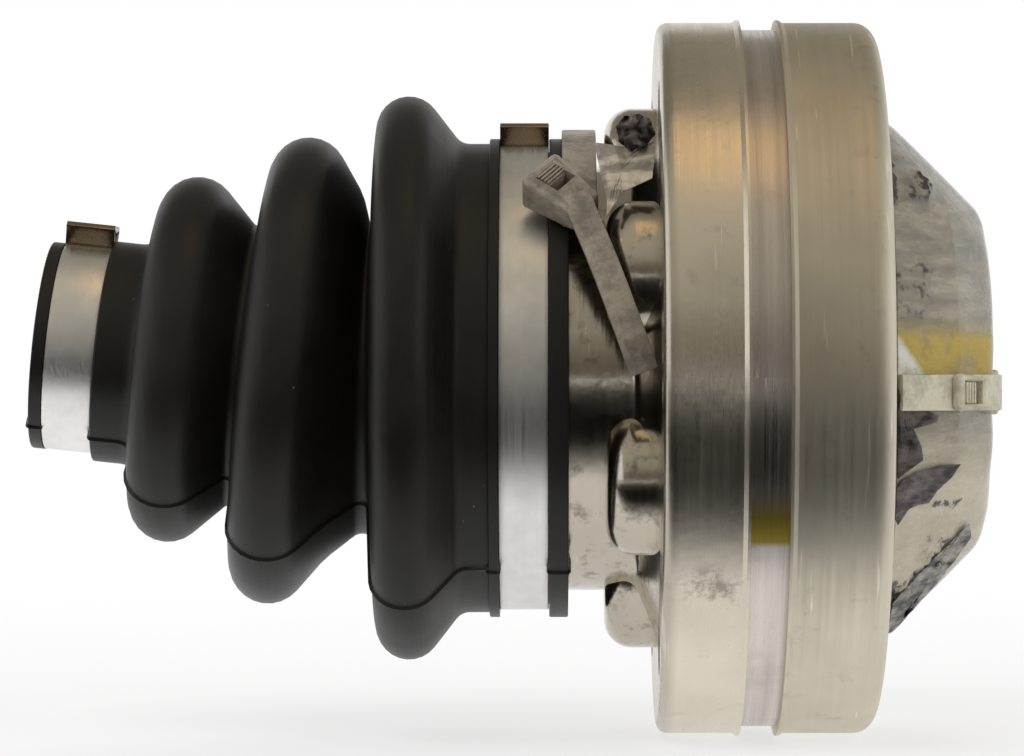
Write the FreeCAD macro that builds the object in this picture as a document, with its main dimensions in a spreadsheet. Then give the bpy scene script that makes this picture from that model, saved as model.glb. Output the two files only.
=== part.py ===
import FreeCAD, Part
import math
import os
import Sketcher

# Inner plunging joint of a drive shaft, with its rubber boot. Lengths in millimetres.
# The joint turns about the X axis. The origin is the centre of the mounting face,
# +X points out of that face, the boot reaches towards -X and +Z is up.

doc = FreeCAD.newDocument("inner_drive_joint")

# Driving dimensions: alias, value
SIZES = [
    # outer race and the way the joint is bolted up
    ("ball_circle_radius", 28.5),
    ("bore_step", 4.0),
    ("bolt_circle_step", 14.5),
    ("race_rim", 7.0),
    ("race_width", 28.1),
    ("race_chamfer", 0.8),
    ("bolt_hole_radius", 4.2),
    ("bolt_count", 6),
    # pressed sheet caps and their gaskets
    ("sheet_wall", 1.0),
    ("gasket_wall", 0.5),
    ("gasket_track_gap", 0.5),
    ("can_skirt_length", 11.7),
    ("cap_skirt_length", 14.1),
    ("skirt_flare", 0.4),
    ("flare_length", 1.0),
    ("can_corner_radius", 1.6),
    ("cap_corner_radius", 3.0),
    ("shoulder_inset", 5.5),
    ("shoulder_fillet", 2.5),
    ("neck_radius", 30.5),
    ("neck_length", 24.9),
    ("lobe_radius", 10.3),
    ("lobe_height", 7.4),
    ("lobe_fillet", 4.0),
    ("cap_dome_height", 10.5),
    ("cap_dome_bolt_gap", 0.4),
    ("cap_dome_top_radius", 24.6),
    ("cap_dome_round", 3.5),
    ("cap_root_round", 1.5),
    # balls, cage and inner race
    ("ball_radius", 8.73),
    ("track_count", 6),
    ("track_gap", 0.1),
    ("window_gap", 0.1),
    ("window_play", 2.8),
    ("window_corner", 3.0),
    ("cage_gap", 0.3),
    ("cage_wall", 6.5),
    ("cage_width", 24.0),
    ("sphere_offset", 2.5),
    ("hub_width", 22.0),
    ("hub_bore_radius", 12.0),
    ("hub_chamfer", 1.0),
    # rubber boot
    ("boot_wall", 2.5),
    ("cuff_start", 12.6),
    ("cuff_floor_radius", 32.5),
    ("cuff_lip_radius", 34.4),
    ("cuff_lip_length", 2.7),
    ("cuff_radius", 33.7),
    ("cuff_bead_length", 1.4),
    ("cuff_plain_length", 3.4),
    ("large_fold_radius", 40.5),
    ("large_fold_round", 4.6),
    ("large_fold_reach", 22.8),
    ("fold_root_round", 2.4),
    ("pivot_reach", 29.9),
    ("socket_radius", 25.5),
    ("socket_gap", 0.3),
    ("socket_left", 3.6),
    ("socket_right", 10.8),
    ("flank_reach", 2.7),
    ("fold_round", 5.4),
    ("middle_fold_reach", 10.3),
    ("middle_fold_radius", 33.7),
    ("valley_reach", 16.9),
    ("valley_radius", 20.3),
    ("valley_round", 1.0),
    ("small_fold_reach", 25.6),
    ("small_fold_radius", 26.4),
    ("small_cuff_reach", 33.0),
    ("small_cuff_radius", 15.9),
    ("small_groove_reach", 37.0),
    ("small_floor_radius", 14.0),
    ("small_lip_radius", 14.9),
    ("small_lip_length", 1.8),
    ("small_bore_radius", 12.25),
    ("boot_tilt", 6.0),
    # clamps
    ("clamp_width", 7.0),
    ("clamp_wall", 0.8),
    ("clamp_play", 0.1),
    ("ear_length", 7.0),
    ("ear_height", 3.3),
    ("small_ear_length", 7.0),
    # tie over the boot's lip, drawn tight towards two opposite bolt holes
    ("tie_start", 8.7),
    ("tie_width", 4.8),
    ("tie_wall", 1.2),
    ("tie_gap", 0.1),
    ("tie_head_length", 9.0),
    ("tie_head_width", 7.4),
    ("tie_head_height", 5.4),
    ("tie_head_angle", 43.0),
    ("tie_head_turn", -40.0),
    ("tie_head_round", 1.0),
    ("tie_head_gap", 0.3),
    ("tie_slot_length", 4.6),
    ("tie_slot_width", 4.4),
    ("tie_slot_shift", 1.2),
    ("tie_arc_start", 53.5),
    ("tail_start_reach", 3.1),
    ("tail_start_angle", 36.0),
    ("tail_start_lift", 2.8),
    ("tail_bow_angle", 17.0),
    ("tail_end_angle", 1.0),
    ("tail_end_gap", 2.4),
    ("tie_tail_bow", 3.0),
    # wrapping over the dome of the end cap
    ("cover_lift", 4.9),
    ("cover_root_inset", 0.8),
    ("cover_start", 1.0),
    ("cover_top_inset", 3.4),
    ("cover_round", 5.4),
    ("cover_wall", 0.4),
    ("strap_width", 5.5),
    ("strap_wall", 1.3),
    ("strap_drop", 1.2),
    ("strap_gap", 0.3),
    ("strap_start", 1.2),
    ("clasp_width", 7.0),
    ("clasp_length", 10.0),
    ("clasp_height", 2.2),
]

sheet = doc.addObject("Spreadsheet::Sheet", "sizes")
for row, (alias, value) in enumerate(SIZES, start=1):
    sheet.set(f"A{row}", alias)
    sheet.set(f"B{row}", str(value))
    sheet.setAlias(f"B{row}", alias)
doc.recompute()


class Term:
    """A length as a number and as the expression that gives it from the sheet."""

    def __init__(self, number, text):
        self.number = number
        self.text = text

    def __add__(self, other):
        other = term(other)
        return Term(self.number + other.number, f"({self.text} + {other.text})")

    def __sub__(self, other):
        other = term(other)
        return Term(self.number - other.number, f"({self.text} - {other.text})")

    def __mul__(self, other):
        other = term(other)
        return Term(self.number * other.number, f"({self.text} * {other.text})")

    def __truediv__(self, other):
        other = term(other)
        return Term(self.number / other.number, f"({self.text} / {other.text})")

    def __neg__(self):
        return Term(-self.number, f"(0 - {self.text})")


def term(value):
    if isinstance(value, Term):
        return value
    return Term(float(value), repr(float(value)))


def cosine(degrees):
    return Term(math.cos(math.radians(degrees.number)), f"cos({degrees.text} * 1 deg)")


def sine(degrees):
    return Term(math.sin(math.radians(degrees.number)), f"sin({degrees.text} * 1 deg)")


S = {alias: Term(float(value), f"sizes.{alias}") for alias, value in SIZES}

# Places along the axis, from the mounting face at zero towards the boot
RACE_RIGHT = -(S["sheet_wall"] + S["gasket_wall"])
RACE_LEFT = RACE_RIGHT - S["race_width"]
CAN_INNER = RACE_LEFT - S["gasket_wall"]
CAN_OUTER = CAN_INNER - S["sheet_wall"]
CENTRE = RACE_RIGHT - S["race_width"] / 2
CAGE_SPHERE = CENTRE + S["sphere_offset"]
HUB_SPHERE = CENTRE - S["sphere_offset"]
NECK_END = CAN_OUTER - S["neck_length"]
CUFF_RIGHT = CAN_OUTER - S["cuff_start"]
GROOVE_RIGHT = CUFF_RIGHT - S["cuff_lip_length"]
GROOVE_LEFT = GROOVE_RIGHT - S["clamp_width"] - S["clamp_play"]
BEAD_LEFT = GROOVE_LEFT - S["cuff_bead_length"]
FOLD_ROOT = BEAD_LEFT - S["cuff_plain_length"]
LARGE_FOLD = CUFF_RIGHT - S["large_fold_reach"]
PIVOT = CUFF_RIGHT - S["pivot_reach"]
FLANK = PIVOT + S["flank_reach"]
BORE_RADIUS = S["ball_circle_radius"] + S["bore_step"]
BOLT_CIRCLE = S["ball_circle_radius"] + S["bolt_circle_step"]
RACE_RADIUS = BOLT_CIRCLE + S["race_rim"]
SHOULDER_RADIUS = BOLT_CIRCLE - S["shoulder_inset"]
DOME_ROOT = BOLT_CIRCLE - S["bolt_hole_radius"] - S["cap_dome_bolt_gap"]
TRACK_RADIUS = S["ball_radius"] + S["track_gap"]
TRACK_REACH = S["ball_circle_radius"] + TRACK_RADIUS
LOBE_REACH = S["ball_circle_radius"] + S["lobe_radius"]
CAGE_RADIUS = BORE_RADIUS - S["cage_gap"]
CAGE_INSIDE = CAGE_RADIUS - S["cage_wall"]
HUB_RADIUS = CAGE_INSIDE - S["cage_gap"]
COVER_HEIGHT = S["cap_dome_height"] + S["cover_lift"]
COVER_ROOT = DOME_ROOT - S["cover_root_inset"]
COVER_TOP = S["cap_dome_top_radius"] - S["cover_top_inset"]


def bind(thing, path, value):
    thing.setExpression(path, term(value).text)


class Corner:
    """A vertex of an outline. Without y it lies on the arc beside it."""

    def __init__(self, x, y=None):
        self.x = term(x)
        self.y = None if y is None else term(y)


class Round:
    """A circle that the outline's straight sides touch; bulge is 1 outwards, -1 inwards."""

    def __init__(self, x, y, radius, bulge):
        self.x = term(x)
        self.y = term(y)
        self.radius = term(radius)
        self.bulge = bulge


class Arc(Round):
    """A circle between two corners that lie on it."""


def touching_side(first, second):
    """The two ends of the side that touches both circles; a corner has no radius."""
    reach = [c[2] * c[3] for c in (first, second)]
    dx = second[0] - first[0]
    dy = second[1] - first[1]
    turn = math.atan2(dy, dx) + math.acos((reach[0] - reach[1]) / math.hypot(dx, dy))
    out = (math.cos(turn), math.sin(turn))
    return [(c[0] + r * out[0], c[1] + r * out[1]) for c, r in zip((first, second), reach)]


def corner_height(corner, arc):
    if corner.y is not None:
        return corner.y.number
    run = corner.x.number - arc.x.number
    return arc.y.number + math.sqrt(arc.radius.number ** 2 - run ** 2)


def numbers(item, beside):
    """Place, radius and bulge of an item as plain numbers."""
    if isinstance(item, Round):
        return (item.x.number, item.y.number, item.radius.number, item.bulge)
    return (item.x.number, corner_height(item, beside), 0.0, 1)


def place(sketch, x, y, geometry, point):
    """Hold one point of the sketch at a place given by the sheet."""
    for kind, value in (("DistanceX", x), ("DistanceY", y)):
        if value is not None:
            held = Sketcher.Constraint(kind, -1, 1, geometry, point, value.number)
            bind(sketch, f"Constraints[{sketch.addConstraint(held)}]", value)


def hold_radius(sketch, geometry, value):
    held = Sketcher.Constraint("Radius", geometry, value.number)
    bind(sketch, f"Constraints[{sketch.addConstraint(held)}]", value)


def arc_edge(centre, radius, start, end):
    """An arc drawn anticlockwise from start to end."""
    circle = Part.Circle(FreeCAD.Vector(centre[0], centre[1], 0), FreeCAD.Vector(0, 0, 1), radius)
    first = math.atan2(start[1] - centre[1], start[0] - centre[0])
    last = math.atan2(end[1] - centre[1], end[0] - centre[0])
    while last <= first:
        last += 2 * math.pi
    return Part.ArcOfCircle(circle, first, last)


def outline(sketch, items):
    """Draw a closed outline clockwise, from corners, touching circles and arcs between corners."""
    count = len(items)
    spots = []
    for index, item in enumerate(items):
        beside = (items[index - 1], items[(index + 1) % count])
        spots.append(numbers(item, next((n for n in beside if isinstance(n, Arc)), None)))
    arriving = {}
    leaving = {}
    for index, item in enumerate(items):
        after = (index + 1) % count
        if isinstance(item, Arc) or isinstance(items[after], Arc):
            continue
        ends = [FreeCAD.Vector(x, y, 0) for x, y in touching_side(spots[index], spots[after])]
        side = sketch.addGeometry(Part.LineSegment(*ends), False)
        leaving[index] = (side, 1, ends[0])
        arriving[after] = (side, 2, ends[1])
    for index, item in enumerate(items):
        if not isinstance(item, Round):
            continue
        before = (index - 1) % count
        after = (index + 1) % count
        between = isinstance(item, Arc)
        way_in = spots[before] if between else arriving[index][2]
        way_out = spots[after] if between else leaving[index][2]
        anticlockwise = (way_in, way_out) if item.bulge < 0 else (way_out, way_in)
        curve = arc_edge(spots[index], spots[index][2], *anticlockwise)
        curve = sketch.addGeometry(curve, False)
        entry, outlet = (1, 2) if item.bulge < 0 else (2, 1)
        place(sketch, item.x, item.y, curve, 3)
        hold_radius(sketch, curve, item.radius)
        if between:
            leaving[before] = (curve, entry)
            arriving[after] = (curve, outlet)
        else:
            for touched, point in ((arriving[index], entry), (leaving[index], outlet)):
                smooth = Sketcher.Constraint("Tangent", *touched[:2], curve, point)
                sketch.addConstraint(smooth)
    for index, item in enumerate(items):
        if not isinstance(item, Round):
            meet = Sketcher.Constraint("Coincident", *arriving[index][:2], *leaving[index][:2])
            sketch.addConstraint(meet)
            place(sketch, item.x, item.y, *leaving[index][:2])


def new_body(label):
    body = doc.addObject("PartDesign::Body", label)
    body.Label = label
    return body


def new_sketch(body, name, role, lift=None):
    """An empty sketch on one of the body's own origin planes, moved out along its normal."""
    sketch = body.newObject("Sketcher::SketchObject", name)
    plane = next(f for f in body.Origin.OriginFeatures if f.Role == role)
    sketch.AttachmentSupport = [(plane, "")]
    sketch.MapMode = "FlatFace"
    if lift is not None:
        bind(sketch, "AttachmentOffset.Base.z", lift)
    return sketch


def revolve(body, name, items, kind="PartDesign::Revolution", axis_height=None):
    """Turn an outline in the XZ plane about the X axis, or about a line parallel to it."""
    sketch = new_sketch(body, f"{name}_profile", "XZ_Plane")
    outline(sketch, items)
    axis = "H_Axis"
    if axis_height is not None:
        ends = [FreeCAD.Vector(x, axis_height.number, 0) for x in (0, 10)]
        line = sketch.addGeometry(Part.LineSegment(*ends), True)
        sketch.addConstraint(Sketcher.Constraint("Horizontal", line))
        place(sketch, term(0), axis_height, line, 1)
        sketch.addConstraint(Sketcher.Constraint("DistanceX", line, 1, line, 2, 10))
        axis = "Axis0"
    turned = body.newObject(kind, name)
    turned.Profile = (sketch, [])
    turned.ReferenceAxis = (sketch, [axis])
    turned.Angle = 360
    sketch.Visibility = False
    doc.recompute()
    return turned


def bore_through(body, name, y, z, radius):
    """A round hole along the X axis through the whole body."""
    sketch = new_sketch(body, f"{name}_profile", "YZ_Plane")
    circle = Part.Circle(
        FreeCAD.Vector(y.number, z.number, 0), FreeCAD.Vector(0, 0, 1), radius.number
    )
    drawn = sketch.addGeometry(circle, False)
    place(sketch, y, z, drawn, 3)
    hold_radius(sketch, drawn, radius)
    hole = body.newObject("PartDesign::Pocket", name)
    hole.Profile = (sketch, [])
    hole.Type = "ThroughAll"
    hole.Midplane = True
    doc.recompute()
    return hole


def repeat_round(body, name, features, count):
    """Repeat features evenly round the X axis."""
    pattern = body.newObject("PartDesign::PolarPattern", name)
    axis = next(f for f in body.Origin.OriginFeatures if f.Role == "X_Axis")
    pattern.Originals = features
    pattern.Axis = (axis, [""])
    pattern.Angle = 360
    bind(pattern, "Occurrences", count)
    body.Tip = pattern
    doc.recompute()
    return pattern


def bolt_holes(body):
    hole = bore_through(body, "bolt_hole", -BOLT_CIRCLE, term(0), S["bolt_hole_radius"])
    return repeat_round(body, "bolt_holes", [hole], S["bolt_count"])


def ring_body(label, left, right, inner, outer):
    """A plain ring on the joint axis."""
    body = new_body(label)
    corners = [Corner(left, inner), Corner(left, outer), Corner(right, outer), Corner(right, inner)]
    revolve(body, "ring", corners)
    return body


def primitive(kind, label, sizes, spot):
    """A Part primitive with its sizes and its place bound to the sheet."""
    solid = doc.addObject(kind, label)
    for path, value in sizes.items():
        bind(solid, path, value)
    for path, value in zip(("x", "y", "z"), spot):
        bind(solid, f"Placement.Base.{path}", value)
    return solid


# Outer race: a ring with straight ball tracks and bolt holes between them
outer_race = new_body("outer_race")
edge = S["race_chamfer"]
cap_inside_round = S["cap_corner_radius"] - S["sheet_wall"]
right_edge = cap_inside_round - S["gasket_wall"]
revolve(outer_race, "race_ring", [
    Corner(RACE_LEFT, BORE_RADIUS + edge),
    Corner(RACE_LEFT, RACE_RADIUS - edge),
    Corner(RACE_LEFT + edge, RACE_RADIUS),
    Corner(RACE_RIGHT - right_edge, RACE_RADIUS),
    Corner(RACE_RIGHT, RACE_RADIUS - right_edge),
    Corner(RACE_RIGHT, BORE_RADIUS + edge),
    Corner(RACE_RIGHT - edge, BORE_RADIUS),
    Corner(RACE_LEFT + edge, BORE_RADIUS),
])
track = bore_through(outer_race, "track", term(0), S["ball_circle_radius"], TRACK_RADIUS)
repeat_round(outer_race, "tracks", [track], S["track_count"])
bolt_holes(outer_race)

# Gaskets between the race and the two pressed caps
for label, right in (("cap_gasket", -S["sheet_wall"]), ("can_gasket", RACE_LEFT)):
    gasket = ring_body(
        label,
        right - S["gasket_wall"],
        right,
        TRACK_REACH + S["gasket_track_gap"],
        RACE_RADIUS - cap_inside_round,
    )
    bolt_holes(gasket)

# Boot can: a pressed shell with a skirt, a shoulder with a lobe over each track, and a neck
boot_can = new_body("boot_can")
skirt_outer = RACE_RADIUS + S["sheet_wall"]
skirt_end = CAN_OUTER + S["can_skirt_length"]
fillet_x = CAN_OUTER - S["shoulder_fillet"] * 2
fillet_y = S["neck_radius"] + S["shoulder_fillet"]
corner_in = S["can_corner_radius"]
revolve(boot_can, "can_outside", [
    Corner(NECK_END, 0),
    Corner(NECK_END, S["neck_radius"]),
    Round(fillet_x, fillet_y, S["shoulder_fillet"], -1),
    Corner(CAN_OUTER, SHOULDER_RADIUS),
    Round(CAN_OUTER + corner_in, skirt_outer - corner_in, corner_in, 1),
    Corner(skirt_end - S["flare_length"], skirt_outer),
    Corner(skirt_end - S["skirt_flare"], skirt_outer + S["skirt_flare"]),
    Corner(skirt_end, skirt_outer + S["skirt_flare"]),
    Corner(skirt_end, 0),
])
lobe_end = CAN_OUTER - S["lobe_height"]


def lobe_profile(wall, right):
    """Half the section of a lobe, wall inside its outer face."""
    rounding = S["lobe_fillet"] - wall
    reach = S["lobe_radius"] - wall
    left = lobe_end + wall
    return [
        Corner(left, S["ball_circle_radius"]),
        Round(left + rounding, S["ball_circle_radius"] + reach - rounding, rounding, 1),
        Corner(right, S["ball_circle_radius"] + reach),
        Corner(right, S["ball_circle_radius"]),
    ]


lobe = revolve(
    boot_can, "lobe", lobe_profile(term(0), CAN_INNER), axis_height=S["ball_circle_radius"]
)
repeat_round(boot_can, "lobes", [lobe], S["track_count"])
beyond = S["sheet_wall"] * 2
revolve(boot_can, "can_inside", [
    Corner(NECK_END - beyond, 0),
    Corner(NECK_END - beyond, S["neck_radius"] - S["sheet_wall"]),
    Round(fillet_x, fillet_y, S["shoulder_fillet"] + S["sheet_wall"], -1),
    Corner(CAN_INNER, SHOULDER_RADIUS),
    Round(CAN_OUTER + corner_in, skirt_outer - corner_in, corner_in - S["sheet_wall"], 1),
    Corner(skirt_end + beyond, RACE_RADIUS),
    Corner(skirt_end + beyond, 0),
], kind="PartDesign::Groove")
cup = revolve(
    boot_can,
    "cup",
    lobe_profile(S["sheet_wall"], CAN_INNER + beyond),
    kind="PartDesign::Groove",
    axis_height=S["ball_circle_radius"],
)
repeat_round(boot_can, "cups", [cup], S["track_count"])
bolt_holes(boot_can)

# End cap: skirt, flat mounting face and a domed middle that leaves room for the hub
end_cap = new_body("end_cap")
cap_round = S["cap_corner_radius"]
root = S["cap_root_round"]
dome_round = S["cap_dome_round"]
dome_top = S["cap_dome_height"]
cap_edge = -S["cap_skirt_length"]
wall = S["sheet_wall"]
revolve(end_cap, "cap_shell", [
    Corner(cap_edge, RACE_RADIUS),
    Corner(cap_edge, skirt_outer + S["skirt_flare"]),
    Corner(cap_edge + S["skirt_flare"], skirt_outer + S["skirt_flare"]),
    Corner(cap_edge + S["flare_length"], skirt_outer),
    Round(-cap_round, skirt_outer - cap_round, cap_round, 1),
    Round(root, DOME_ROOT, root, -1),
    Round(dome_top - dome_round, S["cap_dome_top_radius"], dome_round, 1),
    Corner(dome_top, 0),
    Corner(dome_top - wall, 0),
    Round(dome_top - dome_round, S["cap_dome_top_radius"], dome_round - wall, -1),
    Round(root, DOME_ROOT, root + wall, 1),
    Round(-cap_round, skirt_outer - cap_round, cap_round - wall, -1),
])
bolt_holes(end_cap)

# Cage: a ring between two spheres, with a window for each ball
ball_cage = new_body("ball_cage")
cage_left = CENTRE - S["cage_width"] / 2
cage_right = CENTRE + S["cage_width"] / 2
revolve(ball_cage, "cage_ring", [
    Corner(cage_left),
    Arc(CAGE_SPHERE, 0, CAGE_RADIUS, 1),
    Corner(cage_right),
    Corner(cage_right),
    Arc(HUB_SPHERE, 0, CAGE_INSIDE, -1),
    Corner(cage_left),
])
window_reach = S["ball_radius"] + S["window_gap"]
window_half = window_reach + S["window_play"] / 2
window_round = S["window_corner"]
window_sketch = new_sketch(ball_cage, "window_profile", "XY_Plane")
outline(window_sketch, [
    Round(CENTRE + x * (window_reach - window_round), y * (window_half - window_round),
          window_round, 1)
    for x, y in ((term(-1), term(1)), (term(1), term(1)), (term(1), term(-1)), (term(-1), term(-1)))
])
window = ball_cage.newObject("PartDesign::Pocket", "window")
window.Profile = (window_sketch, [])
window.Type = "ThroughAll"
window.Reversed = True
doc.recompute()
repeat_round(ball_cage, "windows", [window], S["track_count"])

# Inner race: a sphere cut to width, bored for the shaft, with a track under each ball
inner_race = new_body("inner_race")
hub_left = HUB_SPHERE - S["hub_width"] / 2
hub_right = HUB_SPHERE + S["hub_width"] / 2
bore = S["hub_bore_radius"]
edge = S["hub_chamfer"]
revolve(inner_race, "hub_ring", [
    Corner(hub_left),
    Arc(HUB_SPHERE, 0, HUB_RADIUS, 1),
    Corner(hub_right),
    Corner(hub_right, bore + edge),
    Corner(hub_right - edge, bore),
    Corner(hub_left + edge, bore),
    Corner(hub_left, bore + edge),
])
track = bore_through(inner_race, "track", term(0), S["ball_circle_radius"], TRACK_RADIUS)
repeat_round(inner_race, "tracks", [track], S["track_count"])

# Balls, named by where they sit as seen from the front, which is -Y
BALL_PLACES = {
    "ball_front_upper": 30,
    "ball_top": 90,
    "ball_rear_upper": 150,
    "ball_rear_lower": 210,
    "ball_bottom": 270,
    "ball_front_lower": 330,
}
balls = []
for label, degrees in BALL_PLACES.items():
    angle = term(degrees)
    spot = (
        CENTRE,
        -S["ball_circle_radius"] * cosine(angle),
        S["ball_circle_radius"] * sine(angle),
    )
    balls.append(primitive("Part::Sphere", label, {"Radius": S["ball_radius"]}, spot))

# Large end of the boot: cuff on the neck of the can, clamp groove, and the largest fold
boot_large_end = new_body("boot_large_end")
fold = S["large_fold_round"]
fold_y = S["large_fold_radius"] - fold
root = S["fold_root_round"]
root_x = FOLD_ROOT + root * 0.2
root_y = S["cuff_radius"] + root
thick = S["boot_wall"]
lip = S["cuff_lip_radius"]
revolve(boot_large_end, "large_bellows", [
    Corner(FLANK),
    Round(LARGE_FOLD, fold_y, fold, 1),
    Round(root_x, root_y, root, -1),
    Corner(BEAD_LEFT, S["cuff_radius"]),
    Corner(BEAD_LEFT, lip),
    Corner(GROOVE_LEFT, lip),
    Corner(GROOVE_LEFT, S["cuff_floor_radius"]),
    Corner(GROOVE_RIGHT, S["cuff_floor_radius"]),
    Corner(GROOVE_RIGHT, lip),
    Corner(CUFF_RIGHT, lip),
    Corner(CUFF_RIGHT, S["neck_radius"]),
    Corner(NECK_END, S["neck_radius"]),
    Round(root_x, root_y, root + thick, 1),
    Round(LARGE_FOLD, fold_y, fold - thick, -1),
    Corner(FLANK + thick),
    Arc(PIVOT, 0, S["socket_radius"], -1),
])

# Small end of the boot, drawn straight along -X from the pivot, then tilted about it
boot_small_end = new_body("boot_small_end")
fold = S["fold_round"]
ball_zone = S["socket_radius"] - S["socket_gap"]
valley = S["valley_round"]
groove_left = S["small_groove_reach"] + S["clamp_width"] + S["clamp_play"]
lip_left = groove_left + S["small_lip_length"]
small_folds = [
    (-S["small_cuff_reach"], S["small_cuff_radius"] + S["fold_root_round"], S["fold_root_round"], -1),
    (-S["small_fold_reach"], S["small_fold_radius"] - fold, fold, 1),
    (-S["valley_reach"], S["valley_radius"] + valley, valley, -1),
    (-S["middle_fold_reach"], S["middle_fold_radius"] - fold, fold, 1),
]
outer_folds = [Round(*circle) for circle in small_folds]
inner_folds = [
    Round(x, y, radius - thick * bulge, -bulge) for x, y, radius, bulge in reversed(small_folds)
]
revolve(boot_small_end, "small_bellows", [
    Corner(-lip_left, S["small_bore_radius"]),
    Corner(-lip_left, S["small_lip_radius"]),
    Corner(-groove_left, S["small_lip_radius"]),
    Corner(-groove_left, S["small_floor_radius"]),
    Corner(-S["small_groove_reach"], S["small_floor_radius"]),
    Corner(-S["small_groove_reach"], S["small_cuff_radius"]),
    *outer_folds,
    Corner(-S["socket_left"]),
    Arc(0, 0, ball_zone, 1),
    Corner(S["socket_right"]),
    Corner(S["socket_right"]),
    Arc(0, 0, ball_zone - thick, -1),
    Corner(-S["socket_left"] - thick / 2),
    *inner_folds,
    Corner(-S["small_groove_reach"], S["small_bore_radius"]),
])


def tilt_at_pivot(thing):
    """Stand a piece drawn from the pivot where the boot's small end points."""
    turn = FreeCAD.Rotation(FreeCAD.Vector(0, 1, 0), S["boot_tilt"].number)
    thing.Placement = FreeCAD.Placement(FreeCAD.Vector(PIVOT.number, 0, 0), turn)


tilt_at_pivot(boot_small_end)


def ear_clamp(label, left, floor, ear_length):
    """A strip closed round a cuff, with one raised ear at the top, hollow along the axis."""
    clamp = new_body(label)
    strip = S["clamp_wall"]
    right = left + S["clamp_width"]
    revolve(clamp, "band", [
        Corner(left, floor),
        Corner(left, floor + strip),
        Corner(right, floor + strip),
        Corner(right, floor),
    ])
    half = ear_length / 2
    top = floor + strip + S["ear_height"]
    neck = half * 0.55
    ear = new_sketch(clamp, "ear_profile", "YZ_Plane", left)
    outline(ear, [
        Corner(-neck, floor + strip * 0.5),
        Corner(-neck, floor + strip * 1.5),
        Corner(-half, top - strip),
        Corner(-half + strip * 0.6, top),
        Corner(half - strip * 0.6, top),
        Corner(half, top - strip),
        Corner(neck, floor + strip * 1.5),
        Corner(neck, floor + strip * 0.5),
    ])
    raised = clamp.newObject("PartDesign::Pad", "ear")
    raised.Profile = (ear, [])
    bind(raised, "Length", S["clamp_width"])
    doc.recompute()
    hollow = new_sketch(clamp, "ear_hollow_profile", "YZ_Plane", left)
    outline(hollow, [
        Corner(-neck + strip, floor + strip * 1.2),
        Corner(-half + strip * 1.3, top - strip * 1.3),
        Corner(-half + strip * 1.6, top - strip),
        Corner(half - strip * 1.6, top - strip),
        Corner(half - strip * 1.3, top - strip * 1.3),
        Corner(neck - strip, floor + strip * 1.2),
    ])
    opened = clamp.newObject("PartDesign::Pocket", "ear_hollow")
    opened.Profile = (hollow, [])
    opened.Type = "ThroughAll"
    opened.Midplane = True
    doc.recompute()
    return clamp


half_play = S["clamp_play"] / 2
large_clamp = ear_clamp(
    "large_clamp", GROOVE_LEFT + half_play, S["cuff_floor_radius"], S["ear_length"]
)
small_clamp = ear_clamp(
    "small_clamp", half_play - groove_left, S["small_floor_radius"], S["small_ear_length"]
)
tilt_at_pivot(small_clamp)

def pad(body, name, items, role, length, lift=None, both_ways=False):
    """Draw an outline on an origin plane and raise it along the plane's normal."""
    sketch = new_sketch(body, f"{name}_profile", role, lift)
    outline(sketch, items)
    raised = body.newObject("PartDesign::Pad", name)
    raised.Profile = (sketch, [])
    raised.Midplane = both_ways
    bind(raised, "Length", length)
    sketch.Visibility = False
    doc.recompute()
    return raised


def rounded_box(x, y, length, width, rounding):
    """Outline of a rectangle with rounded corners, about its middle."""
    far_x = length / 2 - rounding
    far_y = width / 2 - rounding
    return [
        Round(x - far_x, y + far_y, rounding, 1),
        Round(x + far_x, y + far_y, rounding, 1),
        Round(x + far_x, y - far_y, rounding, 1),
        Round(x - far_x, y - far_y, rounding, 1),
    ]


# Tie: an arc over the top of the boot's lip, from the head at the front to the rear
X_AXIS = FreeCAD.Vector(1, 0, 0)
Z_AXIS = FreeCAD.Vector(0, 0, 1)
tie_right = CAN_OUTER - S["tie_start"]
tie_left = tie_right - S["tie_width"]
tie_inner = S["cuff_lip_radius"] + S["tie_gap"]
tie_outer = tie_inner + S["tie_wall"]
tie_loop = ring_body("tie_loop", tie_left, tie_right, tie_inner, tie_outer)
tie_arc = tie_loop.Tip
bind(tie_arc, "Angle", term(180) - S["tail_start_angle"] - S["tie_arc_start"])
tie_arc.Reversed = True
from_head = FreeCAD.Rotation(X_AXIS, 90 - S["tie_arc_start"].number)
tie_loop.Placement = FreeCAD.Placement(FreeCAD.Vector(), from_head)
doc.recompute()

# Head of the tie: drawn about its own middle with +Z away from the lip
tie_head = new_body("tie_head")
head_lift = S["cuff_lip_radius"] + S["tie_head_gap"]
pad(
    tie_head,
    "head_block",
    rounded_box(
        term(0), term(0), S["tie_head_length"], S["tie_head_width"], S["tie_head_round"]
    ),
    "XY_Plane",
    S["tie_head_height"],
    lift=head_lift,
)
slot_sketch = new_sketch(tie_head, "slot_profile", "XY_Plane", head_lift + S["tie_wall"])
outline(slot_sketch, rounded_box(
    -S["tie_slot_shift"],
    term(0),
    S["tie_slot_length"],
    S["tie_slot_width"],
    S["tie_head_round"] / 2,
))
slot = tie_head.newObject("PartDesign::Pocket", "slot")
slot.Profile = (slot_sketch, [])
slot.Type = "ThroughAll"
slot.Reversed = True
doc.recompute()
round_neck = FreeCAD.Rotation(X_AXIS, 90 - S["tie_head_angle"].number)
on_lip = FreeCAD.Placement(
    FreeCAD.Vector(tie_left.number, 0, 0), FreeCAD.Rotation(Z_AXIS, S["tie_head_turn"].number)
)
tie_head.Placement = FreeCAD.Placement(FreeCAD.Vector(), round_neck) * on_lip


def round_neck_spot(x, radius, degrees, side):
    """A place along the axis, out from it and turned up from the front or the rear."""
    turned_up = math.radians(degrees.number)
    y = side * radius.number * math.cos(turned_up)
    return FreeCAD.Vector(x.number, y, radius.number * math.sin(turned_up))


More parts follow.
